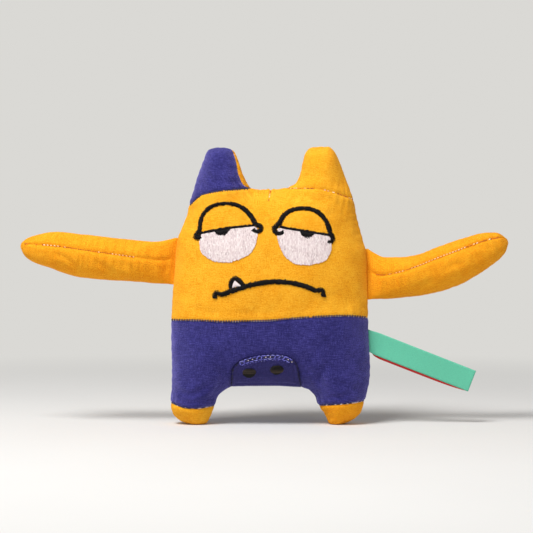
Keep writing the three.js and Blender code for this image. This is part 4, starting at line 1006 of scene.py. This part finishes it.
def on_front(points):
    """Places and normals of the front cloth at points seen from the front"""
    places, normals = [], []
    for x, z in np.asarray(points, float):
        hit, normal, _, _ = front_tree.ray_cast(row_point(x, z, -200), Vector((0, 1, 0)))
        if hit is None:
            hit, normal, _, _ = front_tree.find_nearest(row_point(x, z, -2))
        places.append((hit.x / MM - SHIFT, hit.y / MM, hit.z / MM))
        normals.append(tuple(-normal if normal.y > 0 else normal))
    return np.array(places), np.array(normals)


def strands(name, places, normals, radius, lift, material, tones, sink=0.35, sides=5):
    """Bent threads: places and normals are strand by step. Each dives into the cloth at its ends."""
    count, steps = places.shape[:2]
    across = unit(np.cross(normals, np.gradient(places, axis=1)))[:, :, None]
    arch = np.sin(np.pi * np.linspace(0, 1, steps)) ** 0.45
    height = np.broadcast_to(lift, count)[:, None] * arch - sink * (1 - arch)
    turn = np.linspace(-0.35, np.pi + 0.35, sides)[:, None]
    slim = (radius * (0.45 + 0.55 * arch))[None, :, None, None]
    up = height[..., None, None] + slim * 0.8 * np.sin(turn)
    points = places[:, :, None] + across * slim * np.cos(turn) + normals[:, :, None] * up
    faces = (grid_faces(steps, sides)[None] + (np.arange(count) * steps * sides)[:, None, None]).reshape(-1, 4)
    corner = points[0, 0, sides // 2]
    face = np.cross(points[0, 1, sides // 2] - corner, points[0, 0, sides // 2 + 1] - corner)
    if (face * normals[0, 0]).sum() > 0:
        faces = faces[:, ::-1]
    return make_mesh(name, points, faces, material, tone=np.repeat(tones, steps * sides))


def front_strands(name, starts, ends, radius, lift, material, tones, steps=6, base=0.0, sink=0.35):
    """Threads on the front, from points to points"""
    starts, ends = np.asarray(starts, float), np.asarray(ends, float)
    t = np.linspace(0, 1, steps)[None, :, None]
    places, normals = on_front((starts[:, None] * (1 - t) + ends[:, None] * t).reshape(-1, 2))
    places, normals = [v.reshape(len(starts), steps, 3) for v in (places + normals * base, normals)]
    return strands(name, places, normals, radius, lift, material, tones, sink)


def random_tones(middle, spread, count):
    return np.clip(rng.normal(middle, spread, count), 0, 1)


def sewn_on(piece, *nodes, slot="black_thread"):
    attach(piece, "root")
    if nodes:
        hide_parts(*nodes)


def satin_line(name, node, points, width, lift, pitch=0.42, slant=0.3):
    """A satin-stitched line: threads side by side across it, with ragged ends. Width may be a table along it."""
    curve = Curve(points)
    count = int(curve.length / pitch)
    place = (np.arange(count) + 0.5) / count
    share = curve.spaced(place)
    middle, along = curve.at(share), curve.along(share)
    width = np.interp(place, *np.transpose(width)) if np.ndim(width) else width
    ragged = np.repeat(rng.normal(0, 0.17, count // 2 + 1), 2)[:count]
    half = (width / 2 + ragged + rng.normal(0, 0.12, count))[:, None]
    offset = square_to(along) * rng.normal(0, 0.1, count)[:, None]
    reach = (square_to(along) + along * slant) * half
    tones = random_tones(0.4, 0.22, count)
    lifts = lift + rng.normal(0, 0.05, count)
    starts, ends = middle + offset - reach, middle + offset + reach
    sewn_on(front_strands(name, starts, ends, pitch * 0.66, lifts, black_thread, tones), node)


# Embroidered lines and fields of the face
EYES = {
    "left": dict(
        line=[
            [-45.6, 127.3], [-47.6, 126.0], [-49.3, 126.5], [-49.0, 128.7], [-47.1, 130.2], [-46.5, 135.4],
            [-45.6, 139.5], [-43.4, 143.4], [-39.5, 146.7], [-35.0, 148.4], [-30.6, 149.1], [-26.8, 149.1],
            [-22.7, 148.3], [-18.1, 146.2], [-14.1, 142.7], [-11.5, 139.2], [-10.2, 136.7], [-9.1, 134.7],
            [-6.8, 134.3], [-5.4, 132.4], [-6.6, 130.6], [-9.0, 130.2], [-11.2, 131.6],
        ],
        widths=[
            [0, 4.2], [0.1, 4.2], [0.2, 3.4], [0.38, 2.9], [0.5, 2.8], [0.6, 3.3], [0.72, 4.0], [0.85, 3.8], [1, 3.9],
        ],
        lid=[[-46.0, 129.2], [-37.0, 130.9], [-27.4, 132.5], [-19.5, 133.4], [-10.3, 134.4]],
        top=[
            [-46.8, 123.5], [-45.4, 128.9], [-37.0, 130.3], [-27.4, 131.9], [-19.5, 132.8], [-10.6, 133.7],
            [-8.4, 132.6], [-8.1, 127.5],
        ],
        bottom=[
            [-46.8, 123.5], [-46.3, 118.9], [-44.9, 115.7], [-41.1, 112.5], [-37.0, 110.5], [-32.2, 109.8],
            [-25.8, 109.7], [-23.3, 110.8], [-18.5, 112.4], [-14.1, 114.4], [-11.5, 117.2], [-9.3, 121.1],
            [-8.1, 127.2],
        ],
        pupil=[[-36.7, 130.6], [-35.4, 128.4], [-33.8, 127.3], [-29.5, 127.3], [-27.7, 129.4], [-26.0, 132.2]],
    ),
    "right": dict(
        line=[
            [9.4, 130.0], [7.1, 128.8], [4.6, 129.3], [3.1, 131.4], [4.1, 133.6], [6.2, 135.3], [8.1, 138.9],
            [10.5, 141.9], [13.8, 144.2], [17.3, 145.3], [21.1, 145.8], [24.3, 145.8], [27.5, 145.3], [30.7, 144.1],
            [33.9, 141.9], [36.9, 138.5], [38.8, 135.1], [39.9, 131.6], [40.4, 129.1], [41.8, 127.2], [41.8, 124.9],
            [40.5, 123.3], [38.8, 123.9],
        ],
        widths=[[0, 3.9], [0.1, 3.9], [0.2, 4.0], [0.32, 3.8], [0.5, 3.2], [0.7, 3.7], [0.85, 3.8], [1, 3.7]],
        lid=[[6.8, 133.4], [11.3, 132.4], [16.0, 131.7], [22.4, 130.7], [28.7, 129.6], [33.5, 128.9], [39.7, 128.0]],
        top=[
            [5.1, 126.5], [5.4, 132.2], [7.4, 132.6], [11.3, 131.7], [16.0, 131.0], [22.4, 130.0], [28.7, 128.9],
            [33.5, 128.3], [39.2, 127.3], [41.0, 125.3], [41.3, 121.4],
        ],
        bottom=[
            [5.1, 126.5], [6.0, 122.7], [7.4, 118.9], [9.7, 114.4], [12.2, 111.9], [15.4, 109.5], [18.6, 108.4],
            [26.5, 107.9], [31.3, 108.9], [34.5, 109.7], [37.6, 111.3], [39.9, 115.1], [41.1, 118.6], [41.3, 121.3],
        ],
        pupil=[
            [20.2, 130.6], [21.0, 127.8], [22.4, 126.5], [25.6, 125.6], [27.5, 126.3], [29.1, 127.8], [30.0, 129.4],
        ],
    ),
}


def fill_rows(top, bottom, pitch, length, spare):
    """Starts and ends of upright fill stitches between two lines, in rows that are offset like bricks"""
    top, bottom = np.transpose(top), np.transpose(bottom)
    starts, ends = [], []
    for x in np.arange(bottom[0, 0] + pitch / 2, bottom[0, -1], pitch):
        here = np.interp(x, *top)
        low = np.interp(x, *bottom) + rng.normal(0, 0.2)
        if here - low < 0.5:
            continue
        cut = here - length * rng.uniform(0.3, 1)
        while here > low + 0.3:
            cut = max(cut, low)
            starts.append([x + rng.normal(0, 0.05), here])
            ends.append([x + rng.normal(0, 0.05), cut - spare])
            here, cut = cut, cut - length * rng.uniform(0.7, 1.3)
    return starts, ends


for name, eye in EYES.items():
    starts, ends = fill_rows(eye["top"], eye["bottom"], 0.5, 60.0, -0.25)
    tones = np.full(len(starts), 0.7)
    under = front_strands(f"eye_white_{name}_underlay", starts, ends, 0.38, 0.05, white_thread, tones, steps=24)
    sewn_on(under, slot="white_thread")
    starts, ends = fill_rows(eye["top"], eye["bottom"], 0.4, 1.5, 0.15)
    column = np.round(np.array(starts)[:, 0] / 1.5).astype(int)
    streak = np.random.default_rng(5).uniform(-0.1, 0.1, 400)[column % 400]
    tones = np.clip(0.62 + 0.7 * streak + rng.normal(0, 0.2, len(starts)), 0, 1)
    lifts = 0.2 + 0.1 * tones
    white = front_strands(f"eye_white_{name}_threads", starts, ends, 0.3, lifts, white_thread, tones, 4, 0.12, -0.22)
    sewn_on(white, f"eye_white_{name}", slot="white_thread")
    satin_line(f"eye_line_{name}_threads", f"eye_line_{name}", eye["line"], eye["widths"], 0.8)
    satin_line(f"lid_line_{name}_threads", f"lid_line_{name}", eye["lid"], 2.35, 0.68)
    starts, ends = fill_rows(eye["lid"], eye["pupil"], 0.3, 9.0, 0.0)
    tones = random_tones(0.3, 0.2, len(starts))
    pupil = front_strands(f"pupil_{name}_threads", starts, ends, 0.33, 0.5, black_thread, tones, base=0.35)
    sewn_on(pupil, f"pupil_{name}")

MOUTH = [
    [-36.2, 85.7], [-36.5, 87.9], [-34.9, 89.7], [-32.4, 88.3], [-29.7, 89.0], [-26.4, 90.3], [-20.9, 92.0],
    [-16.5, 93.5], [-12.0, 94.8], [-4.3, 96.2], [3.9, 96.9], [10.0, 96.6], [16.6, 95.7], [23.2, 94.0], [28.1, 92.1],
    [31.5, 90.7], [33.8, 91.8], [35.5, 90.5], [36.0, 86.8],
]
FANG_LINE = [[-25.7, 92.3], [-25.8, 94.8], [-25.0, 97.5], [-23.1, 99.1], [-20.7, 98.1], [-18.7, 95.9], [-17.1, 94.2]]
low_left, low_right, tip = np.array([[-25.4, 92.3], [-18.6, 93.8], [-23.4, 98.6]])
shares = np.linspace(0.04, 0.96, 15)
bases = straight(low_left, low_right)(shares)
tips = bases + (tip - (low_left + low_right) / 2) * (1 - abs(2 * shares - 1))[:, None]
fang = front_strands("fang_threads", bases, tips, 0.34, 0.34, white_thread, np.linspace(0.5, 0.9, 15))
sewn_on(fang, "fang", slot="white_thread")
satin_line("fang_line_threads", "fang_line", FANG_LINE, [[0, 3.4], [0.5, 3.9], [1, 3.2]], 0.8)
satin_line("mouth_threads", "mouth_line", MOUTH, [[0, 3.8], [0.5, 4.0], [1, 3.7]], 0.85)

# The felt patch, its sewn edge, the painted shadow round its edge and its two satin ovals
places, normals = [v.reshape(*patch_grid.shape[:2], 3) for v in body_surface(patch_grid.reshape(-1, 2), -1)]
border = np.concatenate([top, patch_grid[::-1, -1], arch[::-1], patch_grid[:, 0]])
gap = np.min(np.linalg.norm(patch_grid[:, :, None] - border[None, None, ::2], axis=-1), axis=-1)
rise = 0.15 + 1.15 * np.sqrt(np.clip(1 - (1 - np.clip(gap / 1.6, 0, 1)) ** 2, 0, 1))
rise += 0.35 * smoothstep(gap, 2, 9) - 0.35 * np.exp(-(((gap - 2.5) / 0.6) ** 2)) + 0.1 * lumps(places, 7)
felt_piece = grid_piece("nose_patch_felt", places + normals * rise[..., None], felt, patch_grid, normals)
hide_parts("nose_patch")
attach(felt_piece, "root")

front_tree = tree_of(cloth_pieces["trousers_front"], cloth_pieces["head_front"], felt_piece)
# Dark blue strands across the sides and top of the patch's edge: painted shadow of the gap round the felt
curve = Curve(np.concatenate([patch_grid[2:-2, 0], top[1:-1], patch_grid[2:-2, -1][::-1]])[::3])
fleck = rng.uniform(size=400)
count = int(curve.length / 1.05)
share = curve.spaced((np.arange(count) + 0.5) / count)
middle, along = curve.at(share), curve.along(share)
inside = -square_to(along)
jitter = rng.normal(0, 0.12, (count, 1))
starts = middle - inside * (0.5 + jitter) - along * 0.35
ends = middle + inside * (0.9 + jitter) + along * 0.35
tones, pick = random_tones(0.5, 0.25, count), fleck[:count] < 0.85
edge_shadow_strands = front_strands("patch_edge_painted_shadow", starts[pick], ends[pick], 0.3, 0.42, blue_thread_and_painted_shadow, tones[pick], steps=8)
sewn_on(edge_shadow_strands, slot="felt")


def run_stitches(name, path, pitch, length, radius, lift, material, slot="felt"):
    """Running stitches along a line on the front"""
    curve = Curve(path)
    count = int(curve.length / pitch)
    place, half = (np.arange(count) + 0.5) * pitch / curve.length, length / 2 / curve.length
    starts, ends = curve.at_length(place - half), curve.at_length(place + half)
    tones = random_tones(0.5, 0.2, count)
    sewn_on(front_strands(name, starts, ends, radius, lift, material, tones, steps=5), slot=slot)


def patch_row(inset, start=0.17, end=0.86):
    """A line along the top of the patch, some way inside its edge"""
    return inward(top_curve.at_length(start + (end - start) * even(40)), -inset)


RUNG_PITCH = 3.1
run_stitches("patch_edge_row", patch_row(0.3), RUNG_PITCH, 3.3, 0.3, 0.6, lilac_thread)
run_stitches("patch_second_row", patch_row(2.3), RUNG_PITCH, 3.3, 0.27, 0.55, lilac_thread)
run_stitches("patch_dark_row", patch_row(1.3), RUNG_PITCH, 2.2, 0.5, 0.15, blue_thread_and_painted_shadow)
run_stitches("patch_faint_row", patch_row(3.6, 0.2, 0.82), 1.9, 1.1, 0.17, 0.2, lilac_thread)
outer, inner = Curve(patch_row(0.4)), Curve(patch_row(2.2))
rungs = np.arange(int(outer.length / RUNG_PITCH) + 1) * RUNG_PITCH / outer.length
starts, ends = inner.at_length(np.clip(rungs - 0.01, 0, 1)), outer.at_length(np.clip(rungs + 0.01, 0, 1))
pale = np.random.default_rng(23).uniform(size=len(rungs)) < 0.4
for key, pick, near, far, material, slot in (
    ("lilac", ~pale, 0, 1, lilac_thread, "felt"), ("white", pale, 0.3, 0.75, white_thread, "white_thread"),
):
    low, rung = starts[pick], (ends - starts)[pick]
    tones = np.full(pick.sum(), 0.55)
    rung = front_strands(f"patch_rungs_{key}", low + near * rung, low + far * rung, 0.27, 0.6, material, tones)
    sewn_on(rung, slot=slot)
for name, row in OVALS.items():
    middle = patch_point(row)
    rows_at = np.arange(-2.95, 2.96, 0.36)
    reach = 5.1 * np.sqrt(1 - (rows_at / 3.2) ** 2) + rng.normal(0, 0.15, len(rows_at))
    starts, ends = [middle + np.column_stack([s * reach, rows_at + s * 0.15]) for s in (-1, 1)]
    tones = random_tones(0.45, 0.3, len(rows_at))
    # The ovals' strands carry painted highlights in the light tone of their thread
    oval = front_strands(f"nostril_{name}_threads", starts, ends, 0.25, 0.75, gloss_and_painted_highlight_thread, tones, steps=9)
    sewn_on(oval, f"nostril_{name}")


# Stitches that show in the seams; the orange strands are painted shade of the needle holes and of the thread's shadows
def seam_stitches(name, run, pitch, length, radius, kinds, offset=0.0, lean=0.5, shift=0.0):
    """Short stitches across a seam of the front. Kinds are [key, kind, share from, share to]."""
    curve = Curve(run(even(240))[::6])
    count = int(curve.length / pitch)
    place = (np.arange(count - 1) + 0.5 + shift) / count
    middle, along = curve.at_length(place), curve.along(curve.spaced(place))
    across = square_to(along)
    draw = rng.uniform(size=len(place))
    for key, kind, low, high in kinds:
        pick = (draw >= low) & (draw < high)
        half = length * (0.85 + 0.3 * rng.uniform(size=(pick.sum(), 1))) / 2
        way = unit(across[pick] * (1 - lean) + along[pick] * lean) * half
        centre, tones = middle[pick] + across[pick] * offset, random_tones(0.5, 0.2, pick.sum())
        material, slot = KINDS[kind]
        piece = front_strands(f"{name}_{key}", centre - way, centre + way, radius, 0.4, material, tones, steps=5)
        sewn_on(piece, slot=slot)


seam_stitches("waist_stitches", waist_run, 1.75, 1.5, 0.66, [("dark", "dark", 0, 0.97)], 0.45, 0.05)
seam_stitches("waist_row", waist_run, 1.75, 0.8, 0.25, [("white", "white", 0, 0.6)], -0.05, 0.2, 0.5)
for name, run in ankle_runs.items():
    kinds = [("dark", "dark", 0, 0.6), ("white", "white", 0.6, 0.95)]
    seam_stitches(f"ankle_{name}_stitches", run, 1.15, 1.0, 0.3, kinds, 0.1, 0.15)
seam_stitches("horn_left_stitches", horn_runs["left"], 1.6, 2.0, 0.38, [("dark", "dark", 0, 0.95)], -0.5, 0.1)
kinds = [("orange", "orange", 0, 0.68), ("white", "cream", 0.68, 1)]
seam_stitches("horn_right_stitches", horn_runs["right"], 1.9, 1.3, 0.3, kinds, 0.0, 1.0)
for key, kind, path, pitch, length in (
    ("orange", "orange", [[0.6, 158.4], [0.2, 156.2]], 2.0, 2.0),
    ("white", "cream", [[0.2, 156.0], [0.0, 154.6], [-0.3, 152.4]], 1.43, 1.1),
    ("red", "orange", [[-0.4, 152.3], [-0.7, 150.3]], 1.5, 1.5),
):
    run_stitches(f"dart_{key}", path, pitch, length, 0.34, 0.4, *KINDS[kind])

# Station, share of pale stitches and share of stitches that show, along each arm's front seam
PALE_STITCHES = {
    "left": [
        [0, 0, 0], [0.21, 0.6, 0.05], [0.24, 0.6, 0.9], [0.4, 0.55, 1], [0.44, 0.08, 1], [0.66, 0, 1], [0.7, 0.65, 0.9],
        [0.84, 0.55, 0.8], [0.87, 0, 0.4], [1, 0, 0.3],
    ],
    "right": [[0, 0, 1], [0.08, 0, 0.9], [0.2, 0.5, 0.8], [0.5, 0.5, 1], [0.8, 0.35, 1], [0.9, 0.2, 0.8], [1, 0, 0.3]],
}
for name, arm in arms.items():
    stations = np.arange(0.05, 0.975, 1.15 / ARM_LENGTH)
    draw = rng.uniform(size=len(stations))
    at, pale_share, shown_share = np.transpose(PALE_STITCHES[name])
    shown = draw < np.interp(stations, at, shown_share)
    pale = (rng.uniform(size=len(stations)) < 1.7 * np.interp(stations, at, pale_share)) & shown
    pale[1::2] = False
    # Cream stitches, and orange strands between them that paint the shade of the needle holes
    for key, kind, pick, length, radius, sunk in (
        ("orange", "orange", shown & ~pale, 0.9, 0.28, 0.3), ("white", "cream", pale, 0.7, 0.36, 0.15),
    ):
        at = stations[pick][:, None] + np.linspace(-0.5, 0.5, 5) * (length / ARM_LENGTH)
        places = arm.surface(at, 0 * at)
        normals = unit(places - arm.surface(at, 0 * at, 1.0))
        tones = random_tones(0.45, 0.2, len(at))
        material, slot = KINDS[kind]
        piece = strands(f"arm_{name}_seam_{key}", places - normals * sunk, normals, radius, 0.3, material, tones)
        bend_arm(piece, arm)

# Stuffing under the cloth
n = new_nodes("polyester_fibre")
curl = n.noise(n.add("NewGeometry"), 420.0, 6.0, 0.75)
fibre = n.set(
    Base_Color=n.mix(curl, linear(0.86, 0.86, 0.84), linear(0.98, 0.98, 0.97)), Normal=n.bump(curl, 0.8, 0.0015),
    Roughness=1.0, Sheen_Weight=0.5,
)


def wad(name, places, *nodes):
    """A closed wad of fibre from a grid that runs round it"""
    rows, columns = places.shape[:2]
    first, last = rows * columns, rows * columns + 1
    faces = grid_faces(rows, columns, closed=True).tolist()
    for k in range(columns):
        after = (k + 1) % columns
        faces += [[first, after, k], [last, (rows - 1) * columns + k, (rows - 1) * columns + after]]
    points = np.vstack([places.reshape(-1, 3), places[0].mean(0), places[-1].mean(0)])
    piece = make_mesh(name, points, faces, fibre)
    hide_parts(*nodes)
    return piece


def inside_body(middle, border):
    """Rings of places under the cloth, from a middle point in front, over the edge, to behind"""
    flat = middle + (border - middle)[None] * crowd_end(14)[1:, None, None]
    rings = []
    for side in (-1, 1):
        places, normals = body_surface(flat.reshape(-1, 2), side)
        places = (places - normals * STUFFING_DEPTH).reshape(*flat.shape[:2], 3)
        places[..., 1] = side * np.maximum(0.2, side * places[..., 1])
        rings.append(places if side < 0 else places[::-1])
    return np.concatenate(rings)


def border_of(*runs):
    return np.concatenate([run(even(count))[:-1] for run, count in runs])


trunk = border_of(
    (rim_run("hipLeft", "hornBaseLeft"), 60), (horn_runs["left"], 14),
    (rim_run("hornInnerLeft", "hornInnerRight"), 14), (horn_runs["right"], 14),
    (rim_run("hornBaseRight", "hipRight"), 60), (straight(np.array([68, 27.6]), np.array([-68, 27.6])), 40),
)
filling = wad("body_filling", inside_body(np.array([0, 94]), trunk), "body_stuffing_front", "body_stuffing_back")
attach(filling, "root")
LEG_RUNS = {"left": ("groinLeft", "hipLeft"), "right": ("hipRight", "groinRight")}
for name, side in SIDES.items():
    leg = rim_run(*LEG_RUNS[name])(even(50))
    rings = inside_body(np.array([side * LEG_SPREAD, 15.0]), leg[leg[:, 1] > 1.0])
    rings[..., 2] = np.clip(rings[..., 2], 2.6, 27.0)
    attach(wad(f"leg_{name}_filling", rings, f"leg_{name}_stuffing"), "root")
    border = border_of((rim_run(HORN_CORNERS[name][0], HORN_CORNERS[name][3]), 50), (backwards(horn_runs[name]), 16))
    rings = inside_body(np.array([side * HORN_SPREAD, HEAD_TOP + 10]), border)
    rings = twist(rings) if name == "left" else rings
    bend_horn(wad(f"horn_{name}_filling", rings, f"horn_{name}_stuffing"))
    station, angle = np.meshgrid(np.linspace(0.045, 0.97, 40), 2 * np.pi * even(32)[:-1], indexing="ij")
    rings = arms[name].surface(station, angle, STUFFING_DEPTH)
    bend_arm(wad(f"arm_{name}_filling", rings, f"arm_{name}_root_stuffing", f"arm_{name}_stuffing"), arms[name])

# The side tag: one ribbon, folded in half
ribbons = []
for name, dark, light in (
    ("ribbon_outside", (0.25, 0.62, 0.50), (0.44, 0.86, 0.72)),
    ("ribbon_inside", (0.72, 0.03, 0.02), (0.95, 0.10, 0.06)),
):
    n = new_nodes(name)
    uv = n.add("UVMap", uv_map="cloth")
    wave = {"Vector": uv, "Scale": 0.62, "Distortion": 0.6, "Detail": 1.0}
    ribs = n.add("TexWave", wave, out=1, bands_direction="X")
    grain = n.noise(uv, 1.6, 3.0, 0.6, (0.4, 2.0, 1))
    ribbons.append(n.set(
        Base_Color=n.mix(n.weighted(0.0, (ribs, 0.25), (grain, 0.75)), linear(*dark), linear(*light)),
        Normal=n.bump(n.math("ADD", ribs, grain), 0.5, 0.00012), Roughness=0.55, Sheen_Weight=0.2,
    ))


def tag_places():
    """Grid of places of the folded ribbon (layers -1 and 1, fold 0), and how far each row lies along it"""
    slope = np.array([math.cos(TAG_SLOPE), -math.sin(TAG_SLOPE)])
    square = np.array([math.sin(TAG_SLOPE), math.cos(TAG_SLOPE)])
    flat_end = TAG_LENGTH - FOLD_RADIUS
    flat_steps = even(60) * (flat_end + TAG_ROOT) - TAG_ROOT
    run = [(s, -1, 0) for s in flat_steps] + [(flat_end, 0, math.pi * s) for s in even(14)[1:-1]]
    rows, centres = [], []
    for distance, layer, angle in run + [(s, 1, 0) for s in flat_steps[::-1]]:
        share = max(0, distance) / flat_end
        apart = RIBBON + (FOLD_RADIUS - RIBBON) * share**3 + 0.5 * math.sin(math.pi * share) ** 2
        y = -FOLD_RADIUS * math.cos(angle) if layer == 0 else layer * apart
        droop = 1.6 * smoothstep(share, 0, 0.14) * (1 - share**7) if layer == 1 else 0.0
        turn = smoothstep(distance, 0, 6.0)
        wide = unit((1 - turn) * np.array([0, 1]) + turn * square)
        middle = np.array([TAG_START, TAG_HEIGHT - droop]) + slope * (distance + FOLD_RADIUS * math.sin(angle))
        across = np.linspace(-0.5, 0.5, 15)
        flat = middle + wide * across[:, None] * TAG_WIDTH
        cup = 0.25 * (2 * across) ** 2 * (1 if layer <= 0 else -1) * (1 - share)
        rows.append(np.column_stack([flat[:, 0], y - 0.7 * math.sin(share * 5.2) * share - cup, flat[:, 1]]))
        centres.append([middle[0], y, middle[1]])
    steps = np.linalg.norm(np.diff(centres, axis=0), axis=1)
    return np.array(rows), np.concatenate([[0], np.cumsum(steps)])


places, travelled = tag_places()
uv = np.stack(np.meshgrid(travelled, np.linspace(0, TAG_WIDTH, 15), indexing="ij"), axis=-1)
outward = np.zeros_like(places)
outward[..., 1] = np.where(np.arange(len(places)) < len(places) / 2, -1, 1)[:, None]
tag = grid_piece("side_tag_ribbon", places, ribbons[0], uv, outward)
tag.data.materials.append(ribbons[1])
thick = tag.modifiers.new("ribbon", "SOLIDIFY")
thick.thickness, thick.offset, thick.material_offset, thick.material_offset_rim = RIBBON * MM, 0, 1, 0
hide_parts("side_tag")
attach(tag, "tag")

# The squeaker: its bladder is pressed flat by the whistle, and the others keep their CAD shapes
n = new_nodes("milky_plastic")
haze = n.noise(n.add("NewGeometry"), 160.0, 3.0, 0.5)
plastic = n.set(
    Base_Color=n.mix(haze, linear(0.86, 0.88, 0.89), linear(0.95, 0.96, 0.96)), Normal=n.bump(haze, 0.1, 0.0004),
    Roughness=0.38, Subsurface_Weight=0.2,
)


def dome(radius, half, neck, count):
    angle = np.linspace(-np.pi / 2, math.asin(math.sqrt(1 - (neck / radius) ** 2)), count)
    return np.column_stack([radius * np.cos(angle), half * np.sin(angle)])


def bladder_profile():
    """Radius and distance to the front of the moulded bladder, outside and then inside"""
    outside = dome(BLADDER_RADIUS, BLADDER_HALF, NECK_RADIUS, 60)
    r, y = (outside / [BLADDER_RADIUS, 1]).T
    ripple = 0.22 * np.sign(y) * np.cos(r * 30) * smoothstep(r, 0.3, 0.45) * (1 - smoothstep(r, 0.85, 0.97))
    outside[:, 1] += ripple
    outside[:, 0] += 0.5 * np.exp(-((outside[:, 1] / 0.7) ** 2)) - 0.5
    inside = dome(BLADDER_RADIUS - BLADDER_WALL - 0.5, BLADDER_HALF - BLADDER_WALL, NECK_BORE, 40)[::-1]
    front = BLADDER_HALF + NECK_LENGTH
    neck = [[NECK_RADIUS, front - 1.2], [NECK_RADIUS + 0.25, front - 0.9], [NECK_RADIUS + 0.25, front - 0.2]]
    profile = np.vstack([outside, neck, [[NECK_RADIUS, front], [NECK_BORE, front]], inside])
    return np.maximum(profile[:, :1], 0.02), profile[:, 1:]


low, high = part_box("squeaker_bladder")
middle = (np.array(low) + high) / 2
radius, forward = bladder_profile()
turn = 2 * np.pi * even(72)[:-1]
x, z = radius * np.cos(turn) + middle[0] / MM - SHIFT, radius * np.sin(turn) + middle[2] / MM
places = np.stack([x, -forward + 0 * turn, z], axis=-1)
bladder = make_mesh("squeaker_bladder_skin", places, grid_faces(*x.shape, closed=True, flip=True), plastic)
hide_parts("squeaker_bladder")
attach(bladder, "root")
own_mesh(bladder)
for name in ("squeaker_whistle", "squeaker_reed"):
    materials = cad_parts[name].data.materials
    materials.clear()
    materials.append(plastic)

# Floor, backdrop, light and camera
BACKDROP = linear(0.855, 0.85, 0.835)
FLOOR_RINGS, FLOOR_SIDES = np.array([0.3, 0.6, 1.0, 1.5, 2.2, 3.2, 5.0, 8.0]), 64


def pale_floor():
    """A wide floor that turns, far from the object, into the colour of the backdrop"""
    n = new_nodes("pale_floor")
    place = n.add("NewGeometry")
    away = n.add("VectorMath", {0: place}, out=1, operation="LENGTH")
    material = n.set(
        Base_Color=n.mix(n.noise(place, 6.0, 3.0, 0.5), linear(0.845, 0.84, 0.83), linear(0.865, 0.86, 0.85)),
        Roughness=0.9, Specular_IOR_Level=0.1, Normal=n.bump(n.noise(place, 700.0, 2.0, 0.5), 0.05, 0.0002),
    )
    glow = n.add("Emission", {"Color": BACKDROP, "Strength": 1.0})
    far = n.add("MapRange", {0: away, 1: 0.22, 2: 0.85}, interpolation_type="SMOOTHSTEP")
    seen = n.math("MULTIPLY", far, n.add("LightPath", out="Is Camera Ray"))
    n.surface(n.add("MixShader", {0: seen, 1: n.tree.nodes["Principled BSDF"].outputs[0], 2: glow}))
    turn = 2 * np.pi * even(FLOOR_SIDES)[:-1]
    points = np.multiply.outer(FLOOR_RINGS, np.column_stack([np.cos(turn), np.sin(turn), 0 * turn])).reshape(-1, 3)
    faces = grid_faces(len(FLOOR_RINGS), FLOOR_SIDES, flip=True, closed=True).tolist()
    faces += [[len(points), k, (k + 1) % FLOOR_SIDES] for k in range(FLOOR_SIDES)]
    make_mesh("floor", np.vstack([points, [0, 0, 0]]) / MM - [SHIFT, 0, 0], faces, material)


def area_light(name, place, size, power):
    light = bpy.data.lights.new(name, "AREA")
    light.energy, light.size = power, size
    lamp = placed(name, light)
    lamp.location = place
    lamp.rotation_euler = (Vector((0, 0, 0.09)) - Vector(place)).to_track_quat("-Z", "Y").to_euler()


pale_floor()
area_light("key", (-0.42, -0.6, 1.2), 0.5, 20.5)
area_light("fill", (0.9, -0.9, 0.5), 0.9, 1.8)
scene.world = bpy.data.worlds.new("studio")
n = Nodes(scene.world)
soft = n.tree.nodes["Background"]
soft.inputs["Color"].default_value = (1, 1, 1, 1)
soft.inputs["Strength"].default_value = 0.34
backdrop = n.add("Background", {"Color": BACKDROP})
n.surface(n.add("MixShader", {0: n.add("LightPath", out="Is Camera Ray"), 1: soft.outputs[0], 2: backdrop}))
scene.view_settings.view_transform = "Standard"

camera_data = bpy.data.cameras.new("camera")
camera_data.lens, camera_data.sensor_width = 99.3, 36.0
camera = placed("camera", camera_data)
camera.location = (0.00146, -1.0, 0.107)
camera.rotation_euler = (math.pi / 2, 0, 0)
scene.camera = camera

bpy.context.view_layer.update()
